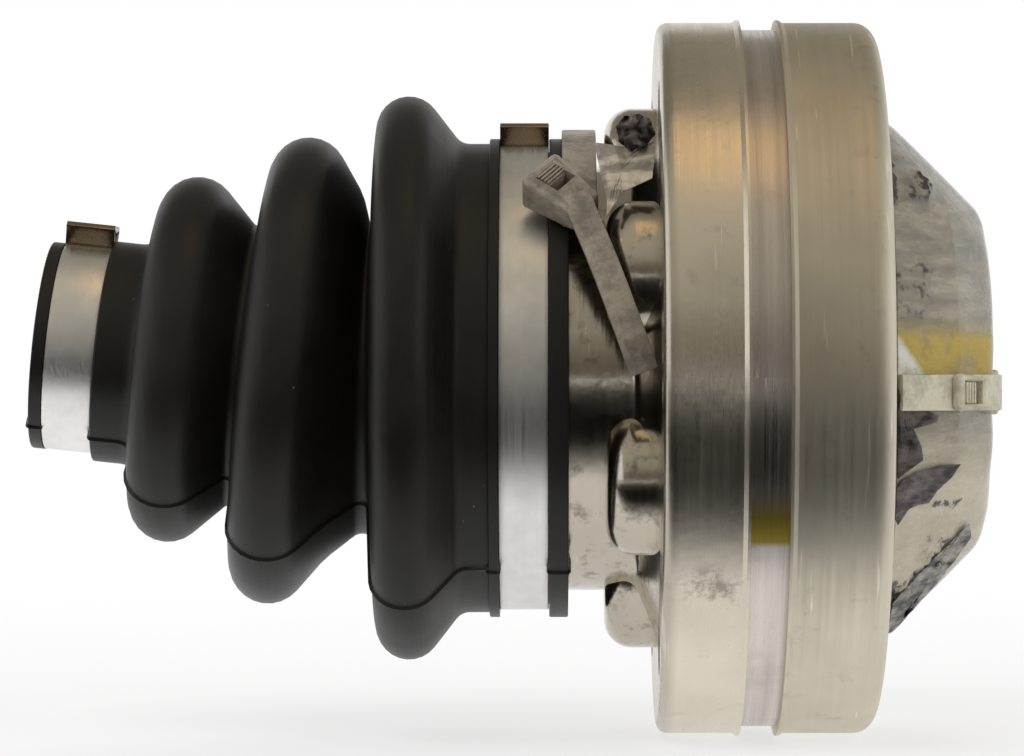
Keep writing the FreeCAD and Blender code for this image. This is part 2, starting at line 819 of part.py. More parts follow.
def tight_strip(label, side):
    """A strip of the tie between two lobes, from beside the lip to the edge of a bolt hole."""
    start = round_neck_spot(
        tie_left + S["tail_start_reach"],
        S["cuff_lip_radius"] + S["tail_start_lift"],
        S["tail_start_angle"],
        side,
    )
    middle = round_neck_spot(
        lobe_end + S["tie_wall"], LOBE_REACH - S["tie_wall"] / 2, S["tail_bow_angle"], side
    )
    end = round_neck_spot(
        CAN_OUTER - S["tail_end_gap"],
        BOLT_CIRCLE - S["bolt_hole_radius"] - S["tie_wall"],
        S["tail_end_angle"],
        side,
    )
    chord = end - start
    bow = middle - (start + end) / 2
    along = term(chord.Length)
    rise = S["tie_tail_bow"]
    bend = (along * along / 4 + rise * rise) / (rise * 2)
    centre = (along / 2, rise - bend)
    strip = new_body(label)
    pad(strip, "strip", [
        Corner(0),
        Arc(*centre, bend + S["tie_wall"], 1),
        Corner(along),
        Corner(along),
        Arc(*centre, bend, -1),
        Corner(0),
    ], "XY_Plane", S["tie_width"], both_ways=True)
    turn = FreeCAD.Rotation(chord, bow, chord.cross(bow), "XYZ")
    strip.Placement = FreeCAD.Placement(start, turn)
    return strip


tie_tail = tight_strip("tie_tail", -1)
tie_return = tight_strip("tie_return", 1)

# Wrapping: a thin cover over the dome of the end cap, and the strap across it
dome_cover = new_body("dome_cover")
film = S["cover_wall"]
cover_round = S["cover_round"]
cover_x = COVER_HEIGHT - cover_round
revolve(dome_cover, "cover_shell", [
    Corner(S["cover_start"], COVER_ROOT),
    Round(cover_x, COVER_TOP, cover_round, 1),
    Corner(COVER_HEIGHT, 0),
    Corner(COVER_HEIGHT - film, 0),
    Round(cover_x, COVER_TOP, cover_round - film, -1),
    Corner(S["cover_start"], COVER_ROOT - film * 1.4),
])

dome_strap = new_body("dome_strap")
strap_inner = cover_round + S["strap_gap"]
strap_outer = strap_inner + S["strap_wall"]
strap_foot = COVER_ROOT - S["strap_start"]
strap_start = S["cover_start"] + S["strap_start"]
pad(dome_strap, "band", [
    Corner(strap_start, strap_foot + S["strap_gap"] + S["strap_wall"]),
    Round(cover_x, COVER_TOP, strap_outer, 1),
    Round(cover_x, -COVER_TOP, strap_outer, 1),
    Corner(strap_start, -strap_foot - S["strap_gap"] - S["strap_wall"]),
    Corner(strap_start, -strap_foot - S["strap_gap"]),
    Round(cover_x, -COVER_TOP, strap_inner, -1),
    Round(cover_x, COVER_TOP, strap_inner, -1),
    Corner(strap_start, strap_foot + S["strap_gap"]),
], "XY_Plane", S["strap_width"], both_ways=True)
clasp_left = cover_x + strap_inner
clasp_right = clasp_left + S["clasp_height"]
clasp_half = S["clasp_length"] / 2
pad(dome_strap, "clasp", [
    Corner(clasp_left, clasp_half),
    Corner(clasp_right, clasp_half),
    Corner(clasp_right, -clasp_half),
    Corner(clasp_left, -clasp_half),
], "XY_Plane", S["clasp_width"], both_ways=True)
dome_strap.Placement = FreeCAD.Placement(
    FreeCAD.Vector(0, 0, -S["strap_drop"].number), FreeCAD.Rotation()
)

SUB_PARTS = [thing for thing in doc.Objects if thing.TypeId == "PartDesign::Body"] + balls
doc.recompute()
for thing in doc.Objects:
    if {"Invalid", "Error"} & set(thing.State):
        raise RuntimeError(f"{thing.Name} failed: {thing.State}")
os.makedirs("parts", exist_ok=True)
for sub_part in SUB_PARTS:
    shape = sub_part.Shape
    if shape.isNull() or not shape.isValid() or not shape.Solids:
        raise RuntimeError(f"{sub_part.Label} has no sound solid")
    shape.exportStep(f"parts/{sub_part.Label}.step")
    print(sub_part.Label, len(shape.Solids), round(shape.Volume, 1), shape.BoundBox)
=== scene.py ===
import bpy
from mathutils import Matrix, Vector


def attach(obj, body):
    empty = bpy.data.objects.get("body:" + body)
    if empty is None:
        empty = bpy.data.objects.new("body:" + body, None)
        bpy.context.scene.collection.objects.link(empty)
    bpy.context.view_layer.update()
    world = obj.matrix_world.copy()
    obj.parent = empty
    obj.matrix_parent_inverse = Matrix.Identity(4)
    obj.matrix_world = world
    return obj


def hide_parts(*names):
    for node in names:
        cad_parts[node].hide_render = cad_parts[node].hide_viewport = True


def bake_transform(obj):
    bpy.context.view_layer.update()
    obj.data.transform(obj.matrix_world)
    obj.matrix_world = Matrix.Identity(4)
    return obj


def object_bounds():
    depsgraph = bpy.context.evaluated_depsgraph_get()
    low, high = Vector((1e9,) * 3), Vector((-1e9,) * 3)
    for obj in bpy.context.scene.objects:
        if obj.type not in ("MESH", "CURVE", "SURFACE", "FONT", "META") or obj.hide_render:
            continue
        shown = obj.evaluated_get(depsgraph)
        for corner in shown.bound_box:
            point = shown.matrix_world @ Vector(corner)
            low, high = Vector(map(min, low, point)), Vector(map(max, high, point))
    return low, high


bl_info = {
    "name": "Drive joint with boot",
    "version": (1, 0, 0),
    "blender": (4, 5, 0),
    "location": "View3D > Sidebar > Joint",
    "description": "Dresses a drive shaft joint with its rubber boot, clamps, tie and wrapped end",
    "category": "Object",
}

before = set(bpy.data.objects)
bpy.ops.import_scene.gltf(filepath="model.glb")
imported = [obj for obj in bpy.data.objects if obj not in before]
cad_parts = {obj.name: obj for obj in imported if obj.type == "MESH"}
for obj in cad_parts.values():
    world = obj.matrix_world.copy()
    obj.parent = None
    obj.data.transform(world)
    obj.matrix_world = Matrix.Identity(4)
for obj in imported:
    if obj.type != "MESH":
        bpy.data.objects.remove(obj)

import functools
import math

import bmesh
import bpy
from bpy.props import FloatProperty, FloatVectorProperty, IntProperty, PointerProperty
from mathutils import Matrix, Vector, noise

MM = 0.001
CAD_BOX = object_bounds()


def length(name, description, millimetres):
    return FloatProperty(
        name=name, description=description, default=millimetres * MM, unit="LENGTH", precision=5
    )


def slant(name, description, degrees):
    return FloatProperty(
        name=name, description=description, default=math.radians(degrees), subtype="ANGLE"
    )


def colour(name, description, default):
    return FloatVectorProperty(
        name=name, description=description, default=default, subtype="COLOR", min=0.0, max=1.0
    )


class BootSizes(bpy.types.PropertyGroup):
    wall: length("Wall", "Thickness of the rubber", 2.5)
    pivot: length("Bend", "Place of the middle valley along the axis", -73.6)
    neck_radius: length("Neck radius", "Radius of the can's neck, inside the large cuff", 30.5)
    neck_end: length("Neck end", "Left end of the can's neck", -56.0)
    cuff_right: length("Cuff end", "Right end of the large cuff", -43.7)
    lip_width: length("Lip width", "Width of the lip right of the large clamp", 2.7)
    lip_radius: length("Lip radius", "Outer radius of the lip and the bead", 34.4)
    groove_radius: length("Groove radius", "Radius under the large clamp", 32.5)
    groove_width: length("Groove width", "Width of both clamp grooves", 7.1)
    bead_width: length("Bead width", "Width of the bead left of the large clamp", 1.4)
    cuff_radius: length("Cuff radius", "Radius between the bead and the largest fold", 33.7)
    fold_root: length("Fold root", "Where the largest fold rises from the cuff", -57.8)
    large_fold: length("Large fold", "Place of the largest fold", -66.5)
    large_radius: length("Large fold radius", "Outer radius of the largest fold", 40.5)
    large_round: length("Large fold round", "Rounding of the largest fold", 4.6)
    root_round: length("Root round", "Rounding where folds meet the cuffs", 2.4)
    pivot_radius: length("Middle valley radius", "Radius at the bottom of the middle valley", 22.4)
    middle_fold: length("Middle fold", "Distance of the middle fold from the bend", 10.3)
    middle_radius: length("Middle fold radius", "Outer radius of the middle fold", 33.7)
    fold_round: length("Fold round", "Rounding of the two smaller folds", 5.4)
    valley: length("Valley", "Distance of the smaller valley from the bend", 16.9)
    valley_radius: length("Valley radius", "Radius at the bottom of the smaller valley", 20.3)
    valley_round: length("Valley round", "Rounding of both valleys", 1.0)
    small_fold: length("Small fold", "Distance of the smallest fold from the bend", 25.6)
    small_radius: length("Small fold radius", "Outer radius of the smallest fold", 26.4)
    small_cuff: length("Small cuff", "Distance of the small cuff from the bend", 33.0)
    small_cuff_radius: length("Small cuff radius", "Outer radius of the small cuff", 15.9)
    small_groove: length("Small groove", "Distance of the small clamp's groove", 37.0)
    small_groove_radius: length("Small groove radius", "Radius under the small clamp", 14.0)
    small_lip_width: length("Small lip width", "Width of the lip at the small end", 1.8)
    small_lip_radius: length("Small lip radius", "Outer radius of the small end's lip", 14.9)
    small_bore: length("Small bore", "Radius of the hole for the shaft", 12.25)
    tilt: slant("Tilt", "How far the small end is bent up", 6.0)
    sides: IntProperty(name="Sides", description="Faces round the boot", default=180, min=60)
    seam_angle: slant("Seam angle", "Place of the mould's parting line below the front", 52.0)
    seam_width: length("Seam width", "Half the width of the parting line", 0.35)
    seam_height: length("Seam height", "How far the parting line stands out", 0.35)


class ClampSizes(bpy.types.PropertyGroup):
    width: length("Width", "Width of the strip", 7.0)
    wall: length("Wall", "Thickness of the strip", 0.8)
    large_left: length("Large clamp", "Left edge of the large clamp", -53.45)
    large_floor: length("Large radius", "Inner radius of the large clamp", 32.5)
    small_left: length("Small clamp", "Left edge of the small clamp from the bend", -44.05)
    small_floor: length("Small radius", "Inner radius of the small clamp", 14.0)
    ear_length: length("Ear length", "Length of the ear round the clamp", 7.0)
    ear_height: length("Ear height", "Height of the ear over the strip", 3.3)


class TieSizes(bpy.types.PropertyGroup):
    wall: length("Wall", "Thickness of the tie", 1.2)
    width: length("Width", "Width of the tie", 4.8)
    strip_width: length("Strip width", "Width of the two tight strips", 4.0)
    left: length("Place", "Left edge of the arc over the boot's lip", -44.6)
    arc_radius: length("Arc radius", "Inner radius of the arc", 34.5)
    arc_start: slant("Arc start", "Where the arc leaves the head, above the front", 37.0)
    arc_sweep: slant("Arc sweep", "How far the arc goes over the top to the rear", 107.0)
    head_length: length("Head length", "Length of the head", 9.0)
    head_width: length("Head width", "Width of the head", 7.4)
    head_height: length("Head height", "Height of the head", 5.4)
    head_lift: length("Head place", "Radius at which the head sits", 34.7)
    head_angle: slant("Head angle", "Place of the head above the front", 43.0)
    head_turn: slant("Head turn", "How far the head is turned on the lip", -40.0)
    window_length: length("Window length", "Length of the head's window", 4.6)
    window_width: length("Window width", "Width of the head's window", 4.4)
    window_shift: length("Window place", "How far the window is from the head's middle", 1.2)
    tooth: length("Tooth", "Distance between two teeth", 1.5)
    start: length("Strip start", "Where the tight strips leave the lip, along the axis", -41.5)
    start_radius: length("Start radius", "Distance of that place from the axis", 37.2)
    start_angle: slant("Start angle", "Height of that place round the axis", 36.0)
    middle: length("Strip middle", "Where the strips pass the lobes, along the axis", -37.3)
    middle_radius: length("Middle radius", "Distance of that place from the axis", 38.2)
    middle_angle: slant("Middle angle", "Height of that place round the axis", 17.0)
    end: length("Strip end", "Where the strips meet the bolt holes, along the axis", -33.5)
    end_radius: length("End radius", "Distance of that place from the axis", 37.6)
    end_angle: slant("End angle", "Height of that place round the axis", 1.0)
    bow: length("Bow", "How far the strips bow out over the lobes", 3.0)
    tucked: IntProperty(
        name="Tucked in", description="Half teeth of a strip that lie under the head", default=5
    )


class CoverSizes(bpy.types.PropertyGroup):
    start: length("Start", "Where the film starts, from the mounting face", 1.0)
    foot_radius: length("Foot radius", "Radius of the film at its foot", 37.6)
    top_radius: length("Top radius", "Radius where the film's end turns flat", 21.2)
    round: length("Round", "Rounding of the film's end", 5.4)
    height: length("Height", "How far the film stands out", 15.4)
    wall: length("Film", "Thickness of the film", 0.2)
    creases: length("Creases", "Height of the film's creases", 0.9)
    flap_wall: length("Flap film", "Thickness of the folded flaps and scraps", 0.15)
    strap_width: length("Strap width", "Width of the strap", 5.0)
    strap_wall: length("Strap wall", "Thickness of the strap", 1.0)
    strap_drop: length("Strap place", "How far the strap lies below the middle", 2.0)
    strap_gap: length("Strap gap", "Room between the film and the strap", 0.3)
    clasp_length: length("Clasp length", "Length of the strap's clasp", 10.0)
    clasp_width: length("Clasp width", "Width of the strap's clasp", 6.4)
    clasp_height: length("Clasp height", "Height of the strap's clasp", 2.2)
    head_place: length("Head place", "Place of the strap's head along the axis", 10.4)
    head_length: length("Head length", "Length of the strap's head", 7.0)
    head_width: length("Head width", "Width of the strap's head", 5.2)
    head_height: length("Head height", "Height of the strap's head", 2.0)
    window_length: length("Window length", "Length of that head's window", 4.2)
    window_width: length("Window width", "Width of that head's window", 3.6)
    window_shift: length("Window place", "How far the window is from the head's middle", 0.7)


class JointColours(bpy.types.PropertyGroup):
    race: colour("Race", "Bare ground steel", (0.66, 0.60, 0.55))
    # Painted reflection: the olive band on the race is a reflection painted into its colour.
    oil: colour("Oil", "Smear of oil on the race", (0.42, 0.32, 0.06))
    can: colour("Can", "Bright plated sheet", (0.80, 0.73, 0.61))
    cap: colour("Cap", "Satin plated sheet", (0.74, 0.69, 0.57))
    rubber: colour("Rubber", "Boot rubber", (0.0048, 0.0042, 0.0034))
    dust: colour("Dust", "Specks on the rubber", (0.34, 0.26, 0.17))
    clamp: colour("Clamp", "Stainless strip", (0.95, 0.94, 0.92))
    # The ear is given a darker, browner copy of the clamp strip's colour.
    ear: colour("Clamp ear", "Stainless strip, browned at the ear", (0.36, 0.28, 0.20))
    tie: colour("Tie", "Natural nylon, soiled", (0.24, 0.205, 0.155))
    strap: colour("Strap", "Natural nylon, yellowed", (0.52, 0.49, 0.37))
    film: colour("Film", "Clear film", (0.34, 0.31, 0.24))
    film_stain: colour("Film stain", "Yellowed part of the film", (0.46, 0.34, 0.07))
    # Painted highlight: the colour of the glare beside the film's yellowed part.
    film_glare: colour("Pale film", "Pale wedge beside the yellowed part", (0.72, 0.70, 0.62))
    # Painted shade: the colour that the film's creases and crumpled places are darkened to.
    film_crease: colour("Film crease", "Dirt in the creases", (0.022, 0.017, 0.019))
    # Folded film: the dark colours are painted shade of the folds, and the glints are painted
    # highlights.
    flap: colour("Flap", "Folded film of the point", (0.045, 0.037, 0.036))
    flap_glint: colour("Flap glint", "Glints on the point", (0.15, 0.128, 0.122))
    hem: colour("Hem", "Folded film at the foot", (0.03, 0.028, 0.026))
    hem_glint: colour("Hem glint", "Glints at the foot", (0.34, 0.32, 0.29))
    knot: colour("Knot", "Dark, tightly folded film", (0.012, 0.009, 0.008))
    knot_glint: colour("Knot glint", "Glints on that film", (0.085, 0.068, 0.060))
    steel: colour("Bearing steel", "Balls, cage and inner race", (0.62, 0.61, 0.60))
    gasket: colour("Gasket", "Pressed fibre sheet", (0.20, 0.18, 0.16))
    floor: colour("Floor", "Floor and backdrop", (0.86, 0.86, 0.86))


class StageSizes(bpy.types.PropertyGroup):
    distance: length("Distance", "From the camera to the joint's axis", 650.0)
    across: length("Across", "Place of the camera along the axis", -46.3)
    lens: FloatProperty(name="Lens", description="Focal length in mm", default=158.6)
    shift: FloatProperty(
        name="Shift", description="Sideways shift that frames the view", default=-0.037
    )
    floor_size: length("Floor size", "Side of the floor", 6000.0)
    middle: length("Middle", "Place on the axis that the cards stand round", -46.0)
    table_place: length("Table", "From the axis to the middle of the table's front", 630.0)
    table_length: length("Table length", "Length of the table's front", 3000.0)
    table_depth: length("Table depth", "How far the table's front comes forward", 1160.0)
    room_radius: length("Room radius", "From the axis to the room's card", 1200.0)
    room_length: length("Room length", "Length of the room's card", 3000.0)
    lamp_length: length("Lamp length", "Length of the warm lamp overhead", 480.0)
    lamp_width: length("Lamp width", "Width of the warm lamp overhead", 500.0)
    lamp_tilt: slant("Lamp tilt", "How far the warm lamp leans to the front", 14.0)


# Shaping tools


def settings(group):
    return getattr(bpy.context.scene, group)


def let_go():
    """Leave edit mode and select nothing."""
    if bpy.context.mode != "OBJECT":
        bpy.ops.object.mode_set(mode="OBJECT")
    bpy.ops.object.select_all(action="DESELECT")


def choose(piece):
    """Select one piece and make it the active one."""
    let_go()
    bpy.context.view_layer.objects.active = piece
    piece.select_set(True)


def edit(piece):
    """Open one piece in edit mode with everything in it selected."""
    choose(piece)
    bpy.ops.object.mode_set(mode="EDIT")
    bpy.ops.mesh.select_all(action="SELECT")


def settle(name):
    """Put the new piece's place into its mesh and name it."""
    bpy.ops.object.transform_apply(location=True, rotation=True, scale=True)
    bpy.context.object.name = name
    return bpy.context.object


def pick(piece, kind, test):
    """In edit mode, select just the faces, edges or verts that pass a test."""
    bpy.ops.mesh.select_mode(type={"faces": "FACE", "edges": "EDGE", "verts": "VERT"}[kind])
    bpy.ops.mesh.select_all(action="DESELECT")
    mesh = bmesh.from_edit_mesh(piece.data)
    for part in getattr(mesh, kind):
        if test(part):
            part.select_set(True)
    mesh.select_flush_mode()
    bmesh.update_edit_mesh(piece.data)


def add_modifier(piece, kind, **values):
    """Add a modifier with its values and apply it."""
    choose(piece)
    modifier = piece.modifiers.new(kind.title(), kind)
    for name, value in values.items():
        setattr(modifier, name, value)
    bpy.ops.object.modifier_apply(modifier=modifier.name)


def smooth(piece, degrees=35.0):
    choose(piece)
    bpy.ops.object.shade_smooth_by_angle(angle=math.radians(degrees))


def close_up(piece):
    """Merge what meets and turn every face outwards."""
    edit(piece)
    bpy.ops.mesh.remove_doubles(threshold=MM * 0.002)
    bpy.ops.mesh.normals_make_consistent(inside=False)
    let_go()


def touching_side(first, second):
    """The ends of the side that touches two circles given as x, y, radius and bulge."""
    reach = [spot[2] * spot[3] for spot in (first, second)]
    run = second[0] - first[0]
    rise = second[1] - first[1]
    turn = math.atan2(rise, run) + math.acos((reach[0] - reach[1]) / math.hypot(run, rise))
    out = (math.cos(turn), math.sin(turn))
    return [(s[0] + r * out[0], s[1] + r * out[1]) for s, r in zip((first, second), reach)]


def rounded_line(spots, degrees, longest):
    """Stations x, y along corners (x, y) and circles (x, y, radius, bulge), drawn clockwise."""
    full = [spot if len(spot) == 4 else (*spot, 0.0, 1) for spot in spots]
    sides = [touching_side(a, b) for a, b in zip(full, full[1:])]
    stations = [sides[0][0]]
    for index, side in enumerate(sides):
        count = max(1, math.ceil(math.dist(*side) / longest))
        for part in range(1, count + 1):
            stations.append(tuple(a + (b - a) * part / count for a, b in zip(*side)))
        if index + 1 < len(sides) and full[index + 1][2] > 0.0:
            x, y, radius, bulge = full[index + 1]
            ends = [math.atan2(p[1] - y, p[0] - x) for p in (side[1], sides[index + 1][0])]
            sweep = (ends[1] - ends[0]) % (2 * math.pi)
            if bulge > 0:
                sweep -= 2 * math.pi
            count = max(1, math.ceil(abs(sweep) / math.radians(degrees)))
            for part in range(1, count + 1):
                angle = ends[0] + sweep * part / count
                stations.append((x + radius * math.cos(angle), y + radius * math.sin(angle)))
    return stations


def turned(name, stations, sides, to_a_point=False):
    """Grow a ring along stations x, radius about the joint's axis."""
    let_go()
    x, radius = stations[0]
    bpy.ops.mesh.primitive_circle_add(
        vertices=sides, radius=radius, location=(x, 0, 0), rotation=(0, math.pi / 2, 0)
    )
    piece = settle(name)
    edit(piece)
    for next_x, next_radius in stations[1:]:
        bpy.ops.mesh.extrude_edges_move(TRANSFORM_OT_translate={"value": (next_x - x, 0, 0)})
        share = next_radius / radius
        bpy.ops.transform.resize(value=(1, share, share), center_override=(next_x, 0, 0))
        x, radius = next_x, next_radius
    if to_a_point:
        bpy.ops.mesh.extrude_edges_move(TRANSFORM_OT_translate={"value": (0, 0, 0)})
        bpy.ops.mesh.merge(type="CENTER")
    close_up(piece)
    return piece


def ribbon(name, path, across, wall, rounding):
    """Grow a strip along a path, give it its thickness and soften its edges."""
    let_go()
    bpy.ops.mesh.primitive_plane_add(size=MM)
    piece = settle(name)
    half = across / 2
    corners = (path[0] - half, path[0] + half, path[1] - half, path[1] + half)
    for vertex, corner in zip(piece.data.vertices, corners):
        vertex.co = corner
    edit(piece)
    for before, after in zip(path[1:], path[2:]):
        ends = (before - half, before + half)
        pick(piece, "edges", lambda edge: all(
            min((v.co - end).length for end in ends) < MM * 0.001 for v in edge.verts
        ))
        bpy.ops.mesh.extrude_edges_move(TRANSFORM_OT_translate={"value": after - before})
    add_modifier(piece, "SOLIDIFY", thickness=wall, offset=0.0, use_even_offset=True)
    if rounding:
        add_modifier(piece, "BEVEL", width=rounding, segments=2, angle_limit=math.radians(50))
    close_up(piece)
    smooth(piece)
    return piece


def toothed_ribbon(name, path, across, wall, inward):
    """A strip with teeth across the side that faces inwards."""
    height = 0.22 * MM
    strip = ribbon(name, path, across, wall, height)
    middles = [(a + b) / 2 for a, b in zip(path, path[1:])]
    teeth = set()
    for face in strip.data.polygons:
        step = min(range(len(middles)), key=lambda i: (middles[i] - face.center).length)
        if step % 2 and face.normal.dot(inward(face.center)) > 0.8:
            teeth.add(face.index)
    edit(strip)
    pick(strip, "faces", lambda face: face.index in teeth)
    bpy.ops.mesh.inset(thickness=0.1 * MM, use_individual=True)
    bpy.ops.transform.shrink_fatten(value=height)
    smooth(strip, 30.0)
    return strip


def between_stations(stations, x):
    """The radius at x of a line of stations x, radius in rising order."""
    for (left, low), (right, high) in zip(stations, stations[1:]):
        if x <= right:
            share = max(0.0, (x - left) / max(right - left, MM * 0.001))
            return low + (high - low) * share
    return stations[-1][1]


def patch(name, corners, stations, lift, folds):
    """A scrap of film with corners x, z as seen from the front, laid round the axis."""
    let_go()
    bpy.ops.mesh.primitive_circle_add(vertices=len(corners), radius=MM, fill_type="TRIFAN")
    piece = settle(name)
    ring = [v for v in piece.data.vertices if v.co.length > MM / 2]
    ring.sort(key=lambda v: math.atan2(v.co.y, v.co.x) % (2 * math.pi))
    places = [Vector((x * MM, 0, z * MM)) for x, z in corners]
    middle = sum(places, Vector()) / len(places)
    for vertex in piece.data.vertices:
        vertex.co = places[ring.index(vertex)] if vertex in ring else middle
    edit(piece)
    bpy.ops.mesh.subdivide(number_cuts=4)
    let_go()
    fold_size = 2.4 * MM
    for vertex in piece.data.vertices:
        wave = abs(noise.noise(vertex.co / fold_size))
        depth = between_stations(stations, vertex.co.x) + lift + folds * wave
        vertex.co.y = -math.sqrt(max(depth * depth - vertex.co.z ** 2, 0.0))
    add_modifier(piece, "SOLIDIFY", thickness=settings("joint_cover").flap_wall, offset=0.0)
    close_up(piece)
    smooth(piece, 18.0)
    return piece


def block(name, middle, size, rounding):
    """A box with softened edges, still in edit mode."""
    let_go()
    bpy.ops.mesh.primitive_cube_add(size=1, location=middle, scale=size)
    piece = settle(name)
    edit(piece)
    bpy.ops.mesh.bevel(offset=rounding, segments=3, affect="EDGES")
    return piece


def ratchet_head(name, s):
    """A tie's head on z = 0 with its window, and the cut end that stands in the window."""
    size = long, wide, top = s.head_length, s.head_width, s.head_height
    window_long, window_wide, shift = s.window_length, s.window_width, s.window_shift
    soft = 0.8 * MM
    edge = 0.5 * MM
    depth = top * 0.6
    head = block(name, (0, 0, top / 2), size, soft)
    pick(head, "faces", lambda f: f.normal.z > 0.99 and f.calc_center_median().z > top - soft / 2)
    bpy.ops.mesh.inset(thickness=edge)
    # The window: the top's inner face drawn to its size, with a lip, and pushed down
    rim = 2 * (soft + edge)
    bpy.ops.transform.resize(
        value=(window_long / (long - rim), window_wide / (wide - rim), 1),
        center_override=(0, 0, top),
    )
    bpy.ops.transform.translate(value=(-shift, 0, 0))
    bpy.ops.mesh.extrude_region_move(TRANSFORM_OT_translate={"value": (0, 0, -0.3 * MM)})
    bpy.ops.transform.resize(value=(0.86, 0.86, 1), center_override=(-shift, 0, top))
    bpy.ops.mesh.extrude_region_move(TRANSFORM_OT_translate={"value": (0, 0, -depth)})
    # The end where the strap leaves is narrower and lower
    pick(head, "verts", lambda v: v.co.x > long * 0.3)
    bpy.ops.transform.resize(value=(1, 0.76, 0.66), center_override=(0, 0, 0))
    smooth(head, 40.0)
    # The cut end stands in the window, with four teeth on top
    across = window_wide * 0.8
    cut_end = block(
        f"{name}_cut_end", (-shift - window_long * 0.17, 0, depth),
        (window_long * 0.48, across, depth), 0.15 * MM,
    )
    tooth = (window_long * 0.06, across, 0.5 * MM)
    teeth = []
    for share in (0.36, 0.24, 0.12, 0.0):
        place = (-shift - window_long * share, 0, top * 0.94)
        teeth.append(block("cut_tooth", place, tooth, 0.08 * MM))
    choose(cut_end)
    for part in teeth:
        part.select_set(True)
    bpy.ops.object.join()
    smooth(cut_end, 40.0)
    return head, cut_end


def turn_piece(piece, angle, axis, middle=(0, 0, 0)):
    """Turn a piece about a line; with no window, transform.rotate turns the other way."""
    edit(piece)
    bpy.ops.transform.rotate(value=-angle, orient_axis=axis, center_override=middle)
    let_go()


def move_piece(piece, way):
    edit(piece)
    bpy.ops.transform.translate(value=way)
    let_go()


def finish_piece(piece, body, slot, finish, *nodes):
    """Give a piece its finish, its body, if it rides on one, and the nodes it shows. The slot is
    not used.
    """
    let_go()
    piece.data.materials.clear()
    piece.data.materials.append(finish_of(finish))
    if body:
        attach(piece, body)
    if nodes:
        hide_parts(*nodes)


# Finishes


class Recipe:
    """A finish under construction: its nodes and the place of a point on the joint."""

    def __init__(self, name):
        self.finish = bpy.data.materials.new(name)
        self.finish.use_nodes = True
        self.tree = self.finish.node_tree
        self.shader = self.tree.nodes["Principled BSDF"]
        self.place = self.add("ShaderNodeTexCoord").outputs["Object"]

    def add(self, kind, inputs=None, **values):
        node = self.tree.nodes.new(kind)
        for name, value in values.items():
            setattr(node, name, value)
        for name, value in (inputs or {}).items():
            self.feed(node.inputs[name], value)
        return node

    def feed(self, socket, value):
        if isinstance(value, bpy.types.NodeSocket):
            self.tree.links.new(value, socket)
        elif socket.type == "RGBA":
            socket.default_value = (*value, 1.0)
        else:
            socket.default_value = value

    def set(self, **inputs):
        for name, value in inputs.items():
            self.feed(self.shader.inputs[name.replace("_", " ")], value)

    def maths(self, operation, first, second):
        return self.add("ShaderNodeMath", {0: first, 1: second}, operation=operation).outputs[0]

    def times(self, first, second):
        return self.maths("MULTIPLY", first, second)

    def parts(self):
        """Place along the axis, to the rear and up."""
        return self.add("ShaderNodeSeparateXYZ", {0: self.place}).outputs

    def reach(self, spot=(0.0, 0.0, 0.0)):
        """Distance from a spot."""
        return self.add(
            "ShaderNodeVectorMath", {0: self.place, 1: spot}, operation="DISTANCE"
        ).outputs["Value"]

    def speckle(self, scale, detail=4.0, roughness=0.5, room=None):
        return self.add("ShaderNodeTexNoise", {
            "Vector": room or self.place, "Scale": scale, "Detail": detail,
            "Roughness": roughness,
        }).outputs[0]

    def lines(self, fine, coarse, detail, roughness=0.5):
        """Noise that is fine along and out, and drawn out round the axis."""
        along, back, up = self.parts()
        flat = self.add("ShaderNodeCombineXYZ", {1: back, 2: up}).outputs[0]
        radius = self.add("ShaderNodeVectorMath", {0: flat}, operation="LENGTH").outputs["Value"]
        room = self.add("ShaderNodeCombineXYZ", {
            0: self.times(along, fine),
            1: self.times(radius, fine),
            2: self.times(self.maths("ARCTAN2", up, back), coarse),
        }).outputs[0]
        return self.speckle(1.0, detail, roughness, room)

    def streaks(self, turn, scale, detail, roughness=0.5):
        """Noise turned and drawn out along a straight line."""
        room = self.add("ShaderNodeMapping", {
            "Vector": self.place, "Rotation": turn, "Scale": scale,
        }).outputs[0]
        return self.speckle(1.0, detail, roughness, room)

    def specks(self, scale):
        return self.add(
            "ShaderNodeTexVoronoi", {"Vector": self.place, "Scale": scale}, feature="F1"
        ).outputs["Distance"]

    def span(self, value, low, high, start=0.0, end=1.0):
        """Map low..high to start..end, held at both ends."""
        return self.add("ShaderNodeMapRange", {
            "Value": value, "From Min": low, "From Max": high, "To Min": start, "To Max": end,
        }).outputs["Result"]

    def blend(self, factor, first, second):
        node = self.add("ShaderNodeMix", data_type="RGBA")
        for index, value in ((0, factor), (6, first), (7, second)):
            self.feed(node.inputs[index], value)
        return node.outputs[2]

    def mottle(self, value, low, high, base, dark, light):
        """A base colour from its dark to its light share as a value goes from low to high."""
        return self.blend(self.span(value, low, high), tint(base, dark), tint(base, light))

    def lay(self, where, strength, under, over):
        """Lay a colour over another where a value says, at a strength."""
        return self.blend(self.times(where, strength), under, over)

    def ramp(self, value, stops):
        """Colours or greys along a value, given as place and level."""
        node = self.add("ShaderNodeValToRGB", {0: value})
        while len(node.color_ramp.elements) < len(stops):
            node.color_ramp.elements.new(0.5)
        for element, (place, level) in zip(node.color_ramp.elements, stops):
            element.position = place
            level = level if isinstance(level, tuple) else (level, level, level)
            element.color = (*level, 1.0)
        return node.outputs[0]

    def bump(self, height, distance, strength=1.0, under=None):
        inputs = {"Height": height, "Distance": distance, "Strength": strength}
        if under is not None:
            inputs["Normal"] = under
        return self.add("ShaderNodeBump", inputs).outputs["Normal"]


def tint(base, share):
    return tuple(channel * share for channel in base)
